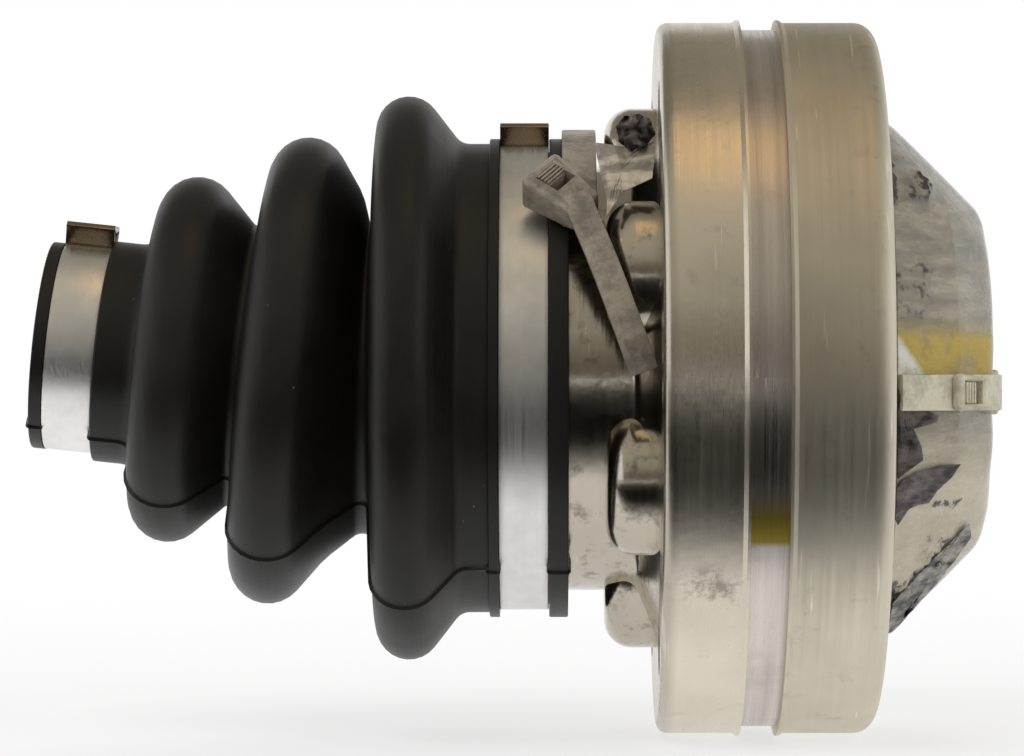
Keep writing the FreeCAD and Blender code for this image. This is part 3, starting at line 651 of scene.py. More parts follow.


# Where a finish changes, in metres: each pair runs from none of it to all of it, SCUFF is the
# scuff's middle, and WEDGE_SLOPE tells how steeply the pale wedge of painted highlight runs down.
# The race's olive band is a painted reflection, the can's rim is darkened with painted shade, and
# the film below its middle is lighter with painted light.
REFLECTION_TOP = (-0.0150, -0.0190)
REFLECTION_BOTTOM = (-0.0232, -0.0224)
REFLECTION_FRONT = (-0.036, -0.040)
DRAWN_SKIRT = (-0.0318, -0.0308)
SHADED_RIM = (-0.0288, -0.0302)
SCUFF = (-0.0245, -0.042, -0.0285)
SCUFF_REACH = (0.0052, 0.002)
YELLOW_TOP = (0.0085, 0.0055)
YELLOW_BOTTOM = (-0.0035, -0.0005)
YELLOW_FRONT = (-0.006, -0.014)
GLARE_WEDGE = (0.0078, 0.0064)
WEDGE_SLOPE = 1.39
LIGHTER_BOTTOM = (-0.006, -0.014)


def race_finish(base, reflection_colour):
    """Ground steel: fine turning lines, a few stains and a painted olive reflection across the
    front.
    """
    recipe = Recipe("ground_steel")
    back, up = recipe.parts()[1:]
    lines = recipe.lines(2600.0, 1.2, 5.0, 0.65)
    wide = recipe.lines(500.0, 0.6, 3.0)
    stain = recipe.span(recipe.speckle(55.0, 6.0, 0.6), 0.52, 0.7)
    mixed = recipe.mottle(wide, 0.35, 0.65, base, 0.82, 1.14)
    mixed = recipe.lay(stain, 0.45, mixed, tint(base, 0.45))
    # Painted reflection: an olive band across the front of the race, below its middle, painted
    # into its colour.
    edge = recipe.maths("ADD", up, recipe.span(stain, 0.0, 1.0, -0.0004, 0.0004))
    oil = recipe.times(recipe.span(edge, *REFLECTION_TOP), recipe.span(edge, *REFLECTION_BOTTOM))
    oil = recipe.times(oil, recipe.span(back, *REFLECTION_FRONT))
    recipe.set(
        Base_Color=recipe.blend(oil, mixed, reflection_colour),
        Metallic=1.0,
        Roughness=recipe.span(lines, 0.3, 0.7, 0.2, 0.42),
        Normal=recipe.bump(lines, 0.00006, 0.5),
    )
    return recipe.finish


def plated_finish(name, base, rough):
    """Plated sheet: drawing lines round the axis, dull patches, scratches, a scuff, a painted
    shaded rim and painted dark reflections on the lobes.
    """
    recipe = Recipe(name)
    along = recipe.parts()[0]
    lines = recipe.lines(1500.0, 1.6, 4.0, 0.6)
    cloud = recipe.speckle(32.0, 5.0, 0.55)
    spots = recipe.span(recipe.speckle(190.0, 3.0, 0.7), 0.6, 0.74)
    scratch = recipe.streaks((0.5, 0.9, 0.3), (900.0, 60.0, 60.0), 2.0)
    creased = recipe.speckle(240.0, 6.0, 0.7)
    drawn = recipe.span(along, *DRAWN_SKIRT)
    # Painted reflection: dark veins on the lobes, left of the drawn skirt, stand in for their
    # sharp dark reflections; the scuff is added to them below.
    dark_reflection_and_scuff = recipe.times(recipe.span(creased, 0.54, 0.7), recipe.span(drawn, 1.0, 0.0))
    scuff = recipe.times(
        recipe.span(recipe.reach(SCUFF), *SCUFF_REACH), recipe.span(creased, 0.5, 0.6)
    )
    dark_reflection_and_scuff = recipe.maths("MAXIMUM", dark_reflection_and_scuff, recipe.times(scuff, 0.7))
    mixed = recipe.mottle(cloud, 0.35, 0.7, base, 0.86, 1.12)
    mixed = recipe.lay(spots, 0.35, mixed, tint(base, 0.5))
    mixed = recipe.lay(recipe.span(scratch, 0.69, 0.73), 0.5, mixed, tint(base, 1.5))
    # Painted shade: the can's left rim edge is darkened in its colour.
    mixed = recipe.lay(recipe.span(along, *SHADED_RIM), 0.45, mixed, tint(base, 0.42))
    mixed = recipe.lay(dark_reflection_and_scuff, 0.8, mixed, tint(base, 0.12))
    dull = recipe.maths(
        "ADD", recipe.span(lines, 0.3, 0.7, rough * 0.45, rough * 0.75),
        recipe.span(cloud, 0.4, 0.7, 0.0, 0.08),
    )
    recipe.set(
        Base_Color=mixed,
        Metallic=1.0,
        Roughness=recipe.maths("ADD", recipe.times(drawn, rough * 0.45), dull),
        Normal=recipe.bump(cloud, 0.0014, 0.3, recipe.bump(lines, 0.00005, 0.5)),
    )
    return recipe.finish


def rubber_finish(base, dust_colour):
    """Moulded rubber: satin bloom, rings from the mould and specks of dust."""
    recipe = Recipe("boot_rubber")
    rings = recipe.lines(700.0, 0.5, 3.0)
    bloom = recipe.speckle(48.0, 5.0, 0.6)
    grain = recipe.speckle(1500.0, 3.0, 0.6)
    dust = recipe.times(
        recipe.span(recipe.specks(420.0), 0.07, 0.03),
        recipe.span(recipe.speckle(90.0, 2.0), 0.6, 0.66),
    )
    mixed = recipe.mottle(bloom, 0.35, 0.7, base, 1.0, 2.1)
    recipe.set(
        Base_Color=recipe.lay(dust, 0.5, mixed, dust_colour),
        Roughness=recipe.span(bloom, 0.3, 0.7, 0.36, 0.52),
        Specular_IOR_Level=0.36,
        Normal=recipe.bump(grain, 0.00008, 0.35, recipe.bump(rings, 0.0002, 0.3)),
    )
    return recipe.finish


def strip_finish(name, base, rough):
    """Rolled strip, bright, with lines along it and faint smears."""
    recipe = Recipe(name)
    lines = recipe.lines(3200.0, 2.0, 4.0, 0.6)
    smears = recipe.speckle(160.0, 4.0, 0.6)
    recipe.set(
        Base_Color=recipe.mottle(smears, 0.35, 0.7, base, 0.86, 1.0),
        Metallic=1.0,
        Roughness=recipe.span(lines, 0.3, 0.7, rough, rough + 0.14),
        Normal=recipe.bump(lines, 0.00004, 0.4),
    )
    return recipe.finish


def nylon_finish(name, base, soiled):
    """Moulded nylon: waxy, slightly clear, soiled in patches to a share of its colour."""
    recipe = Recipe(name)
    cloud = recipe.speckle(210.0, 6.0, 0.68)
    fine = recipe.speckle(1400.0, 4.0, 0.7)
    dirt = recipe.maths("ADD", cloud, recipe.span(fine, 0.3, 0.7, -0.06, 0.06))
    clean = recipe.blend(fine, tint(base, 1.25), base)
    recipe.set(
        Base_Color=recipe.blend(recipe.span(dirt, 0.44, 0.66), clean, tint(base, soiled)),
        Roughness=recipe.span(cloud, 0.3, 0.7, 0.28, 0.5),
        Subsurface_Weight=0.25,
        Subsurface_Radius=(0.002, 0.0018, 0.0012),
        Normal=recipe.bump(fine, 0.00008, 0.4, recipe.bump(cloud, 0.0006, 0.4)),
    )
    return recipe.finish


def film_finish(colours):
    """Clear film: painted light below its middle, where it is also denser, painted shade along its
    creases, a yellowed patch at the front and a painted highlight beside it.
    """
    recipe = Recipe("crumpled_film")
    base = colours.film
    along, back, up = recipe.parts()
    soil = recipe.add("ShaderNodeAttribute", attribute_name="soil").outputs["Fac"]
    swirl = recipe.speckle(260.0, 6.0, 0.62)
    streak = recipe.streaks((0.0, 0.6, 0.0), (90.0, 140.0, 420.0), 4.0, 0.6)
    crinkle = recipe.span(recipe.speckle(520.0, 6.0, 0.72), 0.36, 0.64, -0.4, 0.4)
    # Painted shade: the film is darkened along its creases and crumpled places.
    dark = recipe.span(recipe.maths("ADD", soil, crinkle), 0.45, 0.7)
    yellow = recipe.times(recipe.span(up, *YELLOW_TOP), recipe.span(up, *YELLOW_BOTTOM))
    yellow = recipe.times(yellow, recipe.span(back, *YELLOW_FRONT))
    yellow = recipe.times(yellow, recipe.span(swirl, 0.3, 0.5, 0.55, 1.0))
    # Painted highlight: a pale wedge of glare at the left of the yellowed patch.
    slope = recipe.maths("ADD", recipe.times(along, WEDGE_SLOPE), up)
    wedge = recipe.times(recipe.span(slope, *GLARE_WEDGE), yellow)
    # Painted light from below: the film under its middle is drawn lighter in colour, and a little
    # denser.
    lighter_below = recipe.span(up, *LIGHTER_BOTTOM)
    mixed = recipe.mottle(streak, 0.35, 0.65, base, 0.7, 1.3)
    mixed = recipe.blend(lighter_below, mixed, tint(base, 1.9))
    mixed = recipe.blend(yellow, mixed, colours.film_stain)
    mixed = recipe.blend(wedge, mixed, colours.film_glare)
    mixed = recipe.lay(dark, 0.93, mixed, colours.film_crease)
    thick = recipe.span(streak, 0.35, 0.7, 0.4, 0.6)
    thick = recipe.maths("ADD", thick, recipe.times(lighter_below, 0.2))
    thick = recipe.maths("MAXIMUM", thick, dark)
    recipe.set(
        Base_Color=mixed,
        Roughness=recipe.span(swirl, 0.3, 0.7, 0.14, 0.34),
        Alpha=recipe.maths("MAXIMUM", thick, recipe.times(yellow, 0.85)),
        Specular_IOR_Level=0.4,
        Normal=recipe.bump(swirl, 0.0007, 0.45, recipe.bump(streak, 0.0006, 0.4)),
    )
    return recipe.finish


def folded_finish(name, base, glint, turn=-0.5):
    """Film folded on itself, streaked across the given turn, darkened with painted shade and with
    sharp painted glints.
    """
    recipe = Recipe(name)
    swirl = recipe.speckle(300.0, 5.0, 0.6)
    folds = recipe.streaks((0.0, turn, 0.3), (150.0, 200.0, 620.0), 3.0, 0.6)
    recipe.set(
        Base_Color=recipe.blend(recipe.span(folds, 0.42, 0.62), base, glint),
        Roughness=recipe.span(swirl, 0.3, 0.7, 0.3, 0.5),
        Specular_IOR_Level=0.22,
        Normal=recipe.bump(folds, 0.0006, 0.5, recipe.bump(swirl, 0.0006, 0.4)),
    )
    return recipe.finish


def fibre_finish(base):
    """Pressed fibre: matt and evenly speckled."""
    recipe = Recipe("fibre_sheet")
    grain = recipe.speckle(1800.0, 5.0, 0.7)
    recipe.set(
        Base_Color=recipe.blend(grain, tint(base, 0.7), tint(base, 1.3)),
        Roughness=0.85,
        Normal=recipe.bump(grain, 0.0001, 0.4),
    )
    return recipe.finish


@functools.cache
def finish_of(name):
    """The finish with a short name, made when it is first asked for."""
    colours = settings("joint_colours")
    make, *values = {
        "race": (race_finish, colours.race, colours.oil),
        "can": (plated_finish, "bright_sheet", colours.can, 0.25),
        "cap": (plated_finish, "satin_sheet", colours.cap, 0.5),
        "rubber": (rubber_finish, colours.rubber, colours.dust),
        "clamp": (strip_finish, "stainless_strip", colours.clamp, 0.34),
        "ear": (strip_finish, "browned_strip", colours.ear, 0.2),
        "steel": (strip_finish, "bearing_steel", colours.steel, 0.08),
        "cage": (strip_finish, "hardened_steel", tint(colours.steel, 0.6), 0.28),
        "tie": (nylon_finish, "soiled_nylon", colours.tie, 0.55),
        "strap": (nylon_finish, "yellowed_nylon", colours.strap, 0.7),
        "film": (film_finish, colours),
        "flap": (folded_finish, "violet_fold", colours.flap, colours.flap_glint),
        "hem": (folded_finish, "streaked_fold", colours.hem, colours.hem_glint, 0.9),
        "scrap": (folded_finish, "milky_fold", tint(colours.tie, 0.9), tint(colours.tie, 2.0)),
        "knot": (folded_finish, "dark_fold", colours.knot, colours.knot_glint),
        "gasket": (fibre_finish, colours.gasket),
    }[name]
    return make(*values)


NODE_FINISHES = {
    "race": ("outer_race",),
    "can": ("boot_can",),
    "cap": ("end_cap",),
    "gasket": ("can_gasket", "cap_gasket"),
    "cage": ("ball_cage", "inner_race"),
    "steel": (
        "ball_front_upper", "ball_top", "ball_rear_upper",
        "ball_rear_lower", "ball_bottom", "ball_front_lower",
    ),
}


class JOINT_OT_finishes(bpy.types.Operator):
    """Give the steel pieces and the gaskets of the joint their finishes."""

    bl_idname = "joint.finishes"
    bl_label = "Steel finishes"

    def execute(self, context):
        for finish, nodes in NODE_FINISHES.items():
            for node in nodes:
                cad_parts[node].data.materials.clear()
                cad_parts[node].data.materials.append(finish_of(finish))
        return {"FINISHED"}


class JOINT_OT_boot(bpy.types.Operator):
    """Turn the rubber boot as one skin, raise its parting line and bend its small end up."""

    bl_idname = "joint.boot"
    bl_label = "Rubber boot"

    def execute(self, context):
        s = settings("joint_boot")
        groove_right = s.cuff_right - s.lip_width
        groove_left = groove_right - s.groove_width
        bead_left = groove_left - s.bead_width
        small_left = s.small_groove + s.groove_width
        end = s.pivot - small_left - s.small_lip_width
        folds = [
            (s.pivot - s.small_cuff, s.small_cuff_radius + s.root_round, s.root_round, -1),
            (s.pivot - s.small_fold, s.small_radius - s.fold_round, s.fold_round, 1),
            (s.pivot - s.valley, s.valley_radius + s.valley_round, s.valley_round, -1),
            (s.pivot - s.middle_fold, s.middle_radius - s.fold_round, s.fold_round, 1),
            (s.pivot + MM, s.pivot_radius + s.valley_round, s.valley_round, -1),
            (s.large_fold, s.large_radius - s.large_round, s.large_round, 1),
            (s.fold_root, s.cuff_radius + s.root_round, s.root_round, -1),
        ]
        inside = [
            (x, y, radius - s.wall * bulge, -bulge) for x, y, radius, bulge in reversed(folds)
        ]
        soft = 0.25 * MM
        outline = [
            (end, s.small_bore),
            (end + soft, s.small_lip_radius - soft, soft, 1),
            (s.pivot - small_left, s.small_lip_radius),
            (s.pivot - small_left, s.small_groove_radius),
            (s.pivot - s.small_groove, s.small_groove_radius),
            (s.pivot - s.small_groove + soft, s.small_cuff_radius - soft, soft, 1),
            *folds,
            (bead_left, s.cuff_radius),
            (bead_left + soft, s.lip_radius - soft, soft, 1),
            (groove_left, s.lip_radius),
            (groove_left, s.groove_radius),
            (groove_right, s.groove_radius),
            (groove_right + soft, s.lip_radius - soft, soft, 1),
            (s.cuff_right - soft, s.lip_radius - soft, soft, 1),
            (s.cuff_right, s.neck_radius),
            (s.neck_end, s.neck_radius),
            *inside,
            (s.pivot - s.small_groove, s.small_bore),
            (end, s.small_bore),
        ]
        boot = turned("boot", rounded_line(outline, 15.0, 2.0 * MM), s.sides)
        self.raise_seam(boot, s)
        self.bend(boot, s)
        smooth(boot, 40.0)
        finish_piece(boot, None, "boot_rubber", "rubber", "boot_large_end", "boot_small_end")
        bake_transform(boot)
        return {"FINISHED"}

    @staticmethod
    def raise_seam(boot, s):
        """A fine ridge along the outside at the mould's two parting lines."""
        edit(boot)
        low = Vector((0, -math.cos(s.seam_angle), -math.sin(s.seam_angle)))

        def on_seam(vertex):
            out = Vector((0, vertex.co.y, vertex.co.z))
            faces_out = vertex.normal.dot(out) > -0.2 * out.length
            return faces_out and abs(low.cross(out).x) < 0.05 * MM

        def along_seam(edge):
            first, last = edge.verts
            runs_along = abs(first.co.x - last.co.x) > 0.02 * MM
            return runs_along and on_seam(first) and on_seam(last)

        pick(boot, "edges", along_seam)
        bpy.ops.mesh.bevel(offset=s.seam_width, segments=2, affect="EDGES")
        pick(boot, "verts", on_seam)
        bpy.ops.transform.shrink_fatten(value=s.seam_height)
        let_go()

    @staticmethod
    def bend(boot, s):
        """Turn the small end about the bend, a little at a time across the middle valley."""
        for vertex in boot.data.vertices:
            share = min(1.0, max(0.0, 0.5 - (vertex.co.x - s.pivot) / (6 * MM)))
            turn = Matrix.Rotation(s.tilt * share * share * (3 - 2 * share), 3, "Y")
            middle = Vector((s.pivot, 0, 0))
            vertex.co = middle + turn @ (vertex.co - middle)


class JOINT_OT_clamps(bpy.types.Operator):
    """Close a stainless strip with a raised ear round each cuff."""

    bl_idname = "joint.clamps"
    bl_label = "Ear clamps"

    def execute(self, context):
        s = settings("joint_clamps")
        boot = settings("joint_boot")
        band, ear = self.clamp(s, "large_ear_clamp", s.large_left, s.large_floor)
        finish_piece(band, "joint_body", "clamp_strip", "clamp", "large_clamp")
        finish_piece(ear, "joint_body", "clamp_strip", "ear")
        left = boot.pivot + s.small_left
        band, ear = self.clamp(s, "small_ear_clamp", left, s.small_floor)
        for piece in (band, ear):
            turn_piece(piece, boot.tilt, "Y", (boot.pivot, 0, 0))
        finish_piece(band, "boot_tip", "clamp_strip", "clamp", "small_clamp")
        finish_piece(ear, "boot_tip", "clamp_strip", "ear")
        return {"FINISHED"}

    @staticmethod
    def clamp(s, name, left, floor):
        """A band with its ear, whose side goes out, up, over and down again."""
        right = left + s.width
        outer = floor + s.wall
        soft = 0.15 * MM
        outline = [
            (left, floor + 0.02 * MM),
            (left + soft, outer - soft, soft, 1),
            (right - soft, outer - soft, soft, 1),
            (right, floor + 0.02 * MM),
            (left, floor + 0.02 * MM),
        ]
        band = turned(name, rounded_line(outline, 30.0, s.width), 128)
        smooth(band)
        half = s.ear_length / 2
        top = outer + s.ear_height - s.wall / 2
        foot = outer - s.wall * 0.4
        side = top - foot
        path = [(-half * 0.8, foot - 0.1 * MM), (-half * 0.52, foot)]
        path += [(-half * (0.52 + 0.4 * t), foot + side * t) for t in (0.25, 0.5, 0.75)]
        path += [(-half * 0.9, top - side * 0.1), (-half * 0.78, top), (-half * 0.4, top)]
        path += [(0.0, top - 0.35 * MM)]
        path += [(-y, z) for y, z in reversed(path[:-1])]
        middle = left + s.width / 2
        spots = [Vector((middle, y, z)) for y, z in path]
        ear = ribbon(f"{name}_ear", spots, Vector((s.width, 0, 0)), s.wall * 0.85, 0.12 * MM)
        return band, ear


class JOINT_OT_tie(bpy.types.Operator):
    """Lay the nylon tie over the boot's lip: arc, head, and a tight strip on either side."""

    bl_idname = "joint.tie"
    bl_label = "Nylon tie"

    def execute(self, context):
        s = settings("joint_tie")
        self.arc(s)
        self.head(s)
        self.strip(s, "tie_front_strip", -1, "tie_tail")
        self.strip(s, "tie_rear_strip", 1, "tie_return")
        return {"FINISHED"}

    @staticmethod
    def arc(s):
        """The tie from the head over the top of the lip, with its teeth inside."""
        radius = s.arc_radius + s.wall / 2
        count = round(radius * s.arc_sweep / s.tooth) * 2
        middle = s.left + s.width / 2
        path = []
        for index in range(count + 1):
            angle = s.arc_start + s.arc_sweep * index / count
            path.append(Vector((middle, -radius * math.cos(angle), radius * math.sin(angle))))
        arc = toothed_ribbon(
            "tie_arc", path, Vector((s.width, 0, 0)), s.wall,
            lambda spot: Vector((0, -spot.y, -spot.z)).normalized(),
        )
        finish_piece(arc, "joint_body", "tie_nylon", "tie", "tie_loop")

    @staticmethod
    def head(s):
        """Set the head across the lip, over the start of the front strip."""
        for piece, nodes in zip(ratchet_head("nylon_head", s), (("tie_head",), ())):
            move_piece(piece, (0, 0, s.head_lift))
            turn_piece(piece, s.head_turn, "Z")
            turn_piece(piece, math.pi / 2 - s.head_angle, "X")
            move_piece(piece, (s.left, 0, 0))
            finish_piece(piece, "joint_body", "tie_nylon", "tie", *nodes)

    @staticmethod
    def strip(s, name, side, node):
        """A tight strip from beside the lip, bowed over a lobe, to the edge of a bolt hole."""
        start, middle, end = (
            Vector((x, side * radius * math.cos(angle), radius * math.sin(angle)))
            for x, radius, angle in (
                (s.start, s.start_radius, s.start_angle),
                (s.middle, s.middle_radius, s.middle_angle),
                (s.end, s.end_radius, s.end_angle),
            )
        )
        chord = end - start
        away = middle - (start + end) / 2
        away = (away - away.project(chord)).normalized()
        count = round(chord.length / s.tooth) * 2
        path = []
        for index in range(-s.tucked, count + 1):
            t = index / count
            rise = 4 * s.bow * max(t, 0.0) * (1 - t)
            path.append(start + chord * t + away * (rise + s.wall / 2))
        across = chord.cross(away).normalized() * s.strip_width
        strip = toothed_ribbon(name, path, across, s.wall, lambda spot: -away)
        finish_piece(strip, "joint_body", "tie_nylon", "tie", node)


# The film's marks as seen from the front, x and z in mm, made again half a turn round; these
# creases get painted shade
FILM_TURNS = (0.0, 180.0)
FILM_CREASES = (
    ((4.8, 28.5), (5.9, 27.5), (6.3, 25.4), (5.4, 24.7), (3.7, 25.0)),
    ((0.9, 30.5), (1.4, 27.0), (1.1, 24.0)),
    ((1.2, -30.0), (2.7, -27.9), (4.7, -26.8), (7.5, -25.8)),
    ((6.2, -17.4), (7.6, -17.0), (9.2, -17.6), (10.4, -16.6)),
)
# Middle x and z and radius of each crumpled place
CRUMPLED = (
    (2.6, 11.2, 4.6), (4.6, 14.0, 3.0), (5.2, 26.5, 2.6), (8.0, -24.0, 4.0), (2.5, -30.0, 3.0),
)
# Each flap's finish and its corners x and z
FLAPS = {
    "film_wedge": ("knot", (
        (0.9, -1.4), (1.3, -3.3), (2.6, -5.7), (4.4, -9.4), (4.7, -11.2), (3.8, -11.8),
        (1.0, -13.7), (0.9, -8.0),
    )),
    "film_point": ("flap", (
        (0.9, -15.2), (1.6, -14.0), (4.1, -12.8), (7.5, -12.0), (10.4, -11.9), (9.2, -13.6),
        (6.9, -15.6), (5.8, -17.2), (4.2, -17.4), (2.6, -18.0), (1.3, -20.1), (0.9, -19.2),
    )),
    "film_tuck": ("knot", ((1.9, -4.6), (4.4, -4.0), (6.9, -5.2), (6.6, -6.0), (3.2, -6.9))),
    "film_hem": ("hem", (
        (1.2, -36.0), (1.4, -31.4), (4.8, -27.6), (8.6, -24.0), (12.4, -20.4), (13.0, -22.4),
        (9.0, -28.2), (5.0, -32.8), (2.2, -36.0),
    )),
}
SCRAP = (
    (-40.0, 33.0), (-39.3, 28.5), (-38.4, 24.4), (-38.5, 22.2), (-36.3, 25.6), (-32.2, 27.5),
    (-31.5, 33.0), (-34.5, 31.8), (-37.4, 32.3),
)
KNOT = (
    (-37.1, 35.2), (-35.8, 36.8), (-33.7, 37.1), (-32.3, 36.4), (-31.6, 34.0), (-33.0, 32.2),
    (-35.1, 31.6), (-36.8, 32.9),
)


def cover_stations(s):
    """The film's line from its foot over the dome to a small hole at the tip."""
    corners = [
        (s.start, s.foot_radius),
        (s.height - s.round, s.top_radius, s.round, 1),
        (s.height, 1.2 * MM),
    ]
    return rounded_line(corners, 5.0, 0.5 * MM)


def off_crease(x, z):
    """Distance in mm of a place, seen from the front, to the nearest crease."""
    best = 99.0
    for crease in FILM_CREASES:
        for (ax, az), (bx, bz) in zip(crease, crease[1:]):
            run, rise = bx - ax, bz - az
            t = min(1.0, max(0.0, ((x - ax) * run + (z - az) * rise) / (run * run + rise * rise)))
            best = min(best, math.hypot(x - ax - run * t, z - az - rise * t))
    return best


class JOINT_OT_cover(bpy.types.Operator):
    """Wrap the dome in thin film, creased and crumpled, with its folded flaps."""

    bl_idname = "joint.cover"
    bl_label = "Wrapping film"

    def execute(self, context):
        s = settings("joint_cover")
        stations = cover_stations(s)
        film = turned("wrapping_film", stations, 320, True)
        self.crumple(film, s)
        add_modifier(film, "SOLIDIFY", thickness=s.wall, offset=-1.0)
        smooth(film, 30.0)
        finish_piece(film, "joint_body", "cover_film", "film", "dome_cover")
        flaps = []
        for name, (finish, corners) in FLAPS.items():
            flaps.append(patch(name, corners, stations, 0.9 * MM, 1.0 * MM))
            finish_piece(flaps[-1], "joint_body", "cover_film", finish)
        return {"FINISHED"}

    @staticmethod
    def crumple(film, s):
        """Raise the creases and crumpled places, and mark them with painted shade for the film's
        finish.

        The film stays calm under the strap and at its foot.
        """
        noise.seed_set(1)
        crease_reach = 0.9
        cell_size = 3.0 * MM
        ripple_size = 7.0 * MM
        calm = 3.2 * MM
        mesh = film.data
        turns = [Matrix.Rotation(math.radians(turn), 3, "X") for turn in FILM_TURNS]
        out = [v.normal.copy() for v in mesh.vertices]
        soil = []
        for vertex, normal in zip(mesh.vertices, out):
            crease = 0.0
            crumpled = 0.0
            for turn in turns:
                spot = turn @ vertex.co / MM
                if spot.y < -2.0:
                    crease = max(crease, 1.0 - off_crease(spot.x, spot.z) / crease_reach)
                    for x, z, size in CRUMPLED:
                        near = 1.0 - math.hypot(spot.x - x, spot.z - z) / size
                        crumpled = max(crumpled, min(1.0, near * 2.5))
            spot = vertex.co / cell_size
            near, second = noise.voronoi(spot + noise.noise_vector(spot) * 0.5)[0][:2]
            ridge = max(0.0, 1.0 - (second - near) * 3.0)
            ripple = 0.5 + 0.5 * noise.noise(vertex.co / ripple_size)
            strap = min(1.0, max(0.0, (abs(vertex.co.z + s.strap_drop) - calm) / (3 * MM)))
            foot = max(0.15, min(1.0, (vertex.co.x - s.start) / (2 * MM)))
            lift = 0.35 * ripple + 0.65 * crumpled * ridge + 0.5 * crease
            vertex.co += normal * s.creases * lift * strap * foot
            # Painted shade along the creases and crumpled places, read by the film's finish.
            soil.append(max(0.85 * crease, 0.42 * crumpled))
        mesh.attributes.new("soil", "FLOAT", "POINT").data.foreach_set("value", soil)


class JOINT_OT_scraps(bpy.types.Operator):
    """Leave the torn film that is caught between the tie and the can."""

    bl_idname = "joint.scraps"
    bl_label = "Film scraps"

    def execute(self, context):
        seat = [(-40.2 * MM, 36.1 * MM), (-38.2 * MM, 39.0 * MM), (-31.0 * MM, 39.2 * MM)]
        scrap = patch("film_scrap", SCRAP, seat, 0.2 * MM, 1.2 * MM)
        knot = patch("film_knot", KNOT, seat, 0.5 * MM, 3.0 * MM)
        finish_piece(scrap, "joint_body", "cover_film", "scrap")
        finish_piece(knot, "joint_body", "cover_film", "knot")
        return {"FINISHED"}


class JOINT_OT_strap(bpy.types.Operator):
    """Lay the strap with its clasp across the wrapped dome."""

    bl_idname = "joint.strap"
    bl_label = "Strap"

    def execute(self, context):
        s = settings("joint_cover")
        gap = s.strap_gap + s.strap_wall / 2
        foot = (s.start + 0.2 * MM, s.foot_radius + gap)
        line = rounded_line(
            [foot, (s.height - s.round, s.top_radius, s.round + gap, 1), (s.height + gap, 0.0)],
            10.0, 2.0 * MM,
        )
        line += [(x, -y) for x, y in reversed(line[:-1])]
        path = [Vector((x, y, -s.strap_drop)) for x, y in line]
        strap = ribbon("strap", path, Vector((0, 0, s.strap_width)), s.strap_wall, 0.3 * MM)
        finish_piece(strap, "joint_body", "strap_nylon", "strap", "dome_strap")
        middle = s.height + s.strap_gap + s.clasp_height / 2
        clasp = block(
            "strap_clasp", (middle, 0, -s.strap_drop),
            (s.clasp_height, s.clasp_length, s.clasp_width), 0.5 * MM,
        )
        pick(clasp, "faces", lambda f: f.normal.x > 0.99)
        bpy.ops.mesh.inset(thickness=1.0 * MM)
        bpy.ops.mesh.extrude_region_move(TRANSFORM_OT_translate={"value": (-0.5 * MM, 0, 0)})
        smooth(clasp, 40.0)
        finish_piece(clasp, "joint_body", "strap_nylon", "strap")
        self.head(s)
        return {"FINISHED"}

    @staticmethod
    def head(s):
        """Set the strap's head on it where it comes round the dome's shoulder."""
        run = s.height - s.round - s.start + s.round * 0.7
        slope = math.atan2(s.foot_radius - s.top_radius - s.round, run)
        out = s.strap_gap + s.strap_wall
        place = (
            s.head_place + out * math.sin(slope),
            -between_stations(cover_stations(s), s.head_place) - out * math.cos(slope),
            -s.strap_drop,
        )
        for piece in ratchet_head("strap_head", s):
            turn_piece(piece, math.pi / 2, "X")
            turn_piece(piece, slope, "Z")
            move_piece(piece, place)
            finish_piece(piece, "joint_body", "strap_nylon", "strap")


# Each lamp's place in metres, power in watts and width
LAMPS = {
    "key_lamp": ((-0.5, -0.9, 1.0), 8.0, 0.9),
    "fill_lamp": ((0.8, -0.9, 0.5), 4.0, 1.0),
    "rear_lamp": ((-0.2, 0.9, 0.9), 6.0, 0.9),
}
LAMP_AIM = (-0.05, 0.0, 0.0)
WARM_LAMP = (0.21, -0.278, 1.116)
# What the metal reflects: shares of the way along a card, and levels or colours there
TABLE_TONES = (
    (0.0, 0.95), (0.012, 0.6), (0.03, 0.2), (0.045, 0.05), (0.07, 0.008),
    (0.13, 0.008), (0.26, 0.02), (1.0, 0.1),
)
ROOM_TONES = (
    (0.0, (0.10, 0.085, 0.065)), (0.06, (0.19, 0.17, 0.14)), (0.14, (0.40, 0.38, 0.33)),
    (0.29, (0.46, 0.43, 0.36)), (0.45, (0.46, 0.42, 0.35)), (0.56, (0.24, 0.22, 0.18)),
    (0.85, (0.26, 0.25, 0.22)),
)


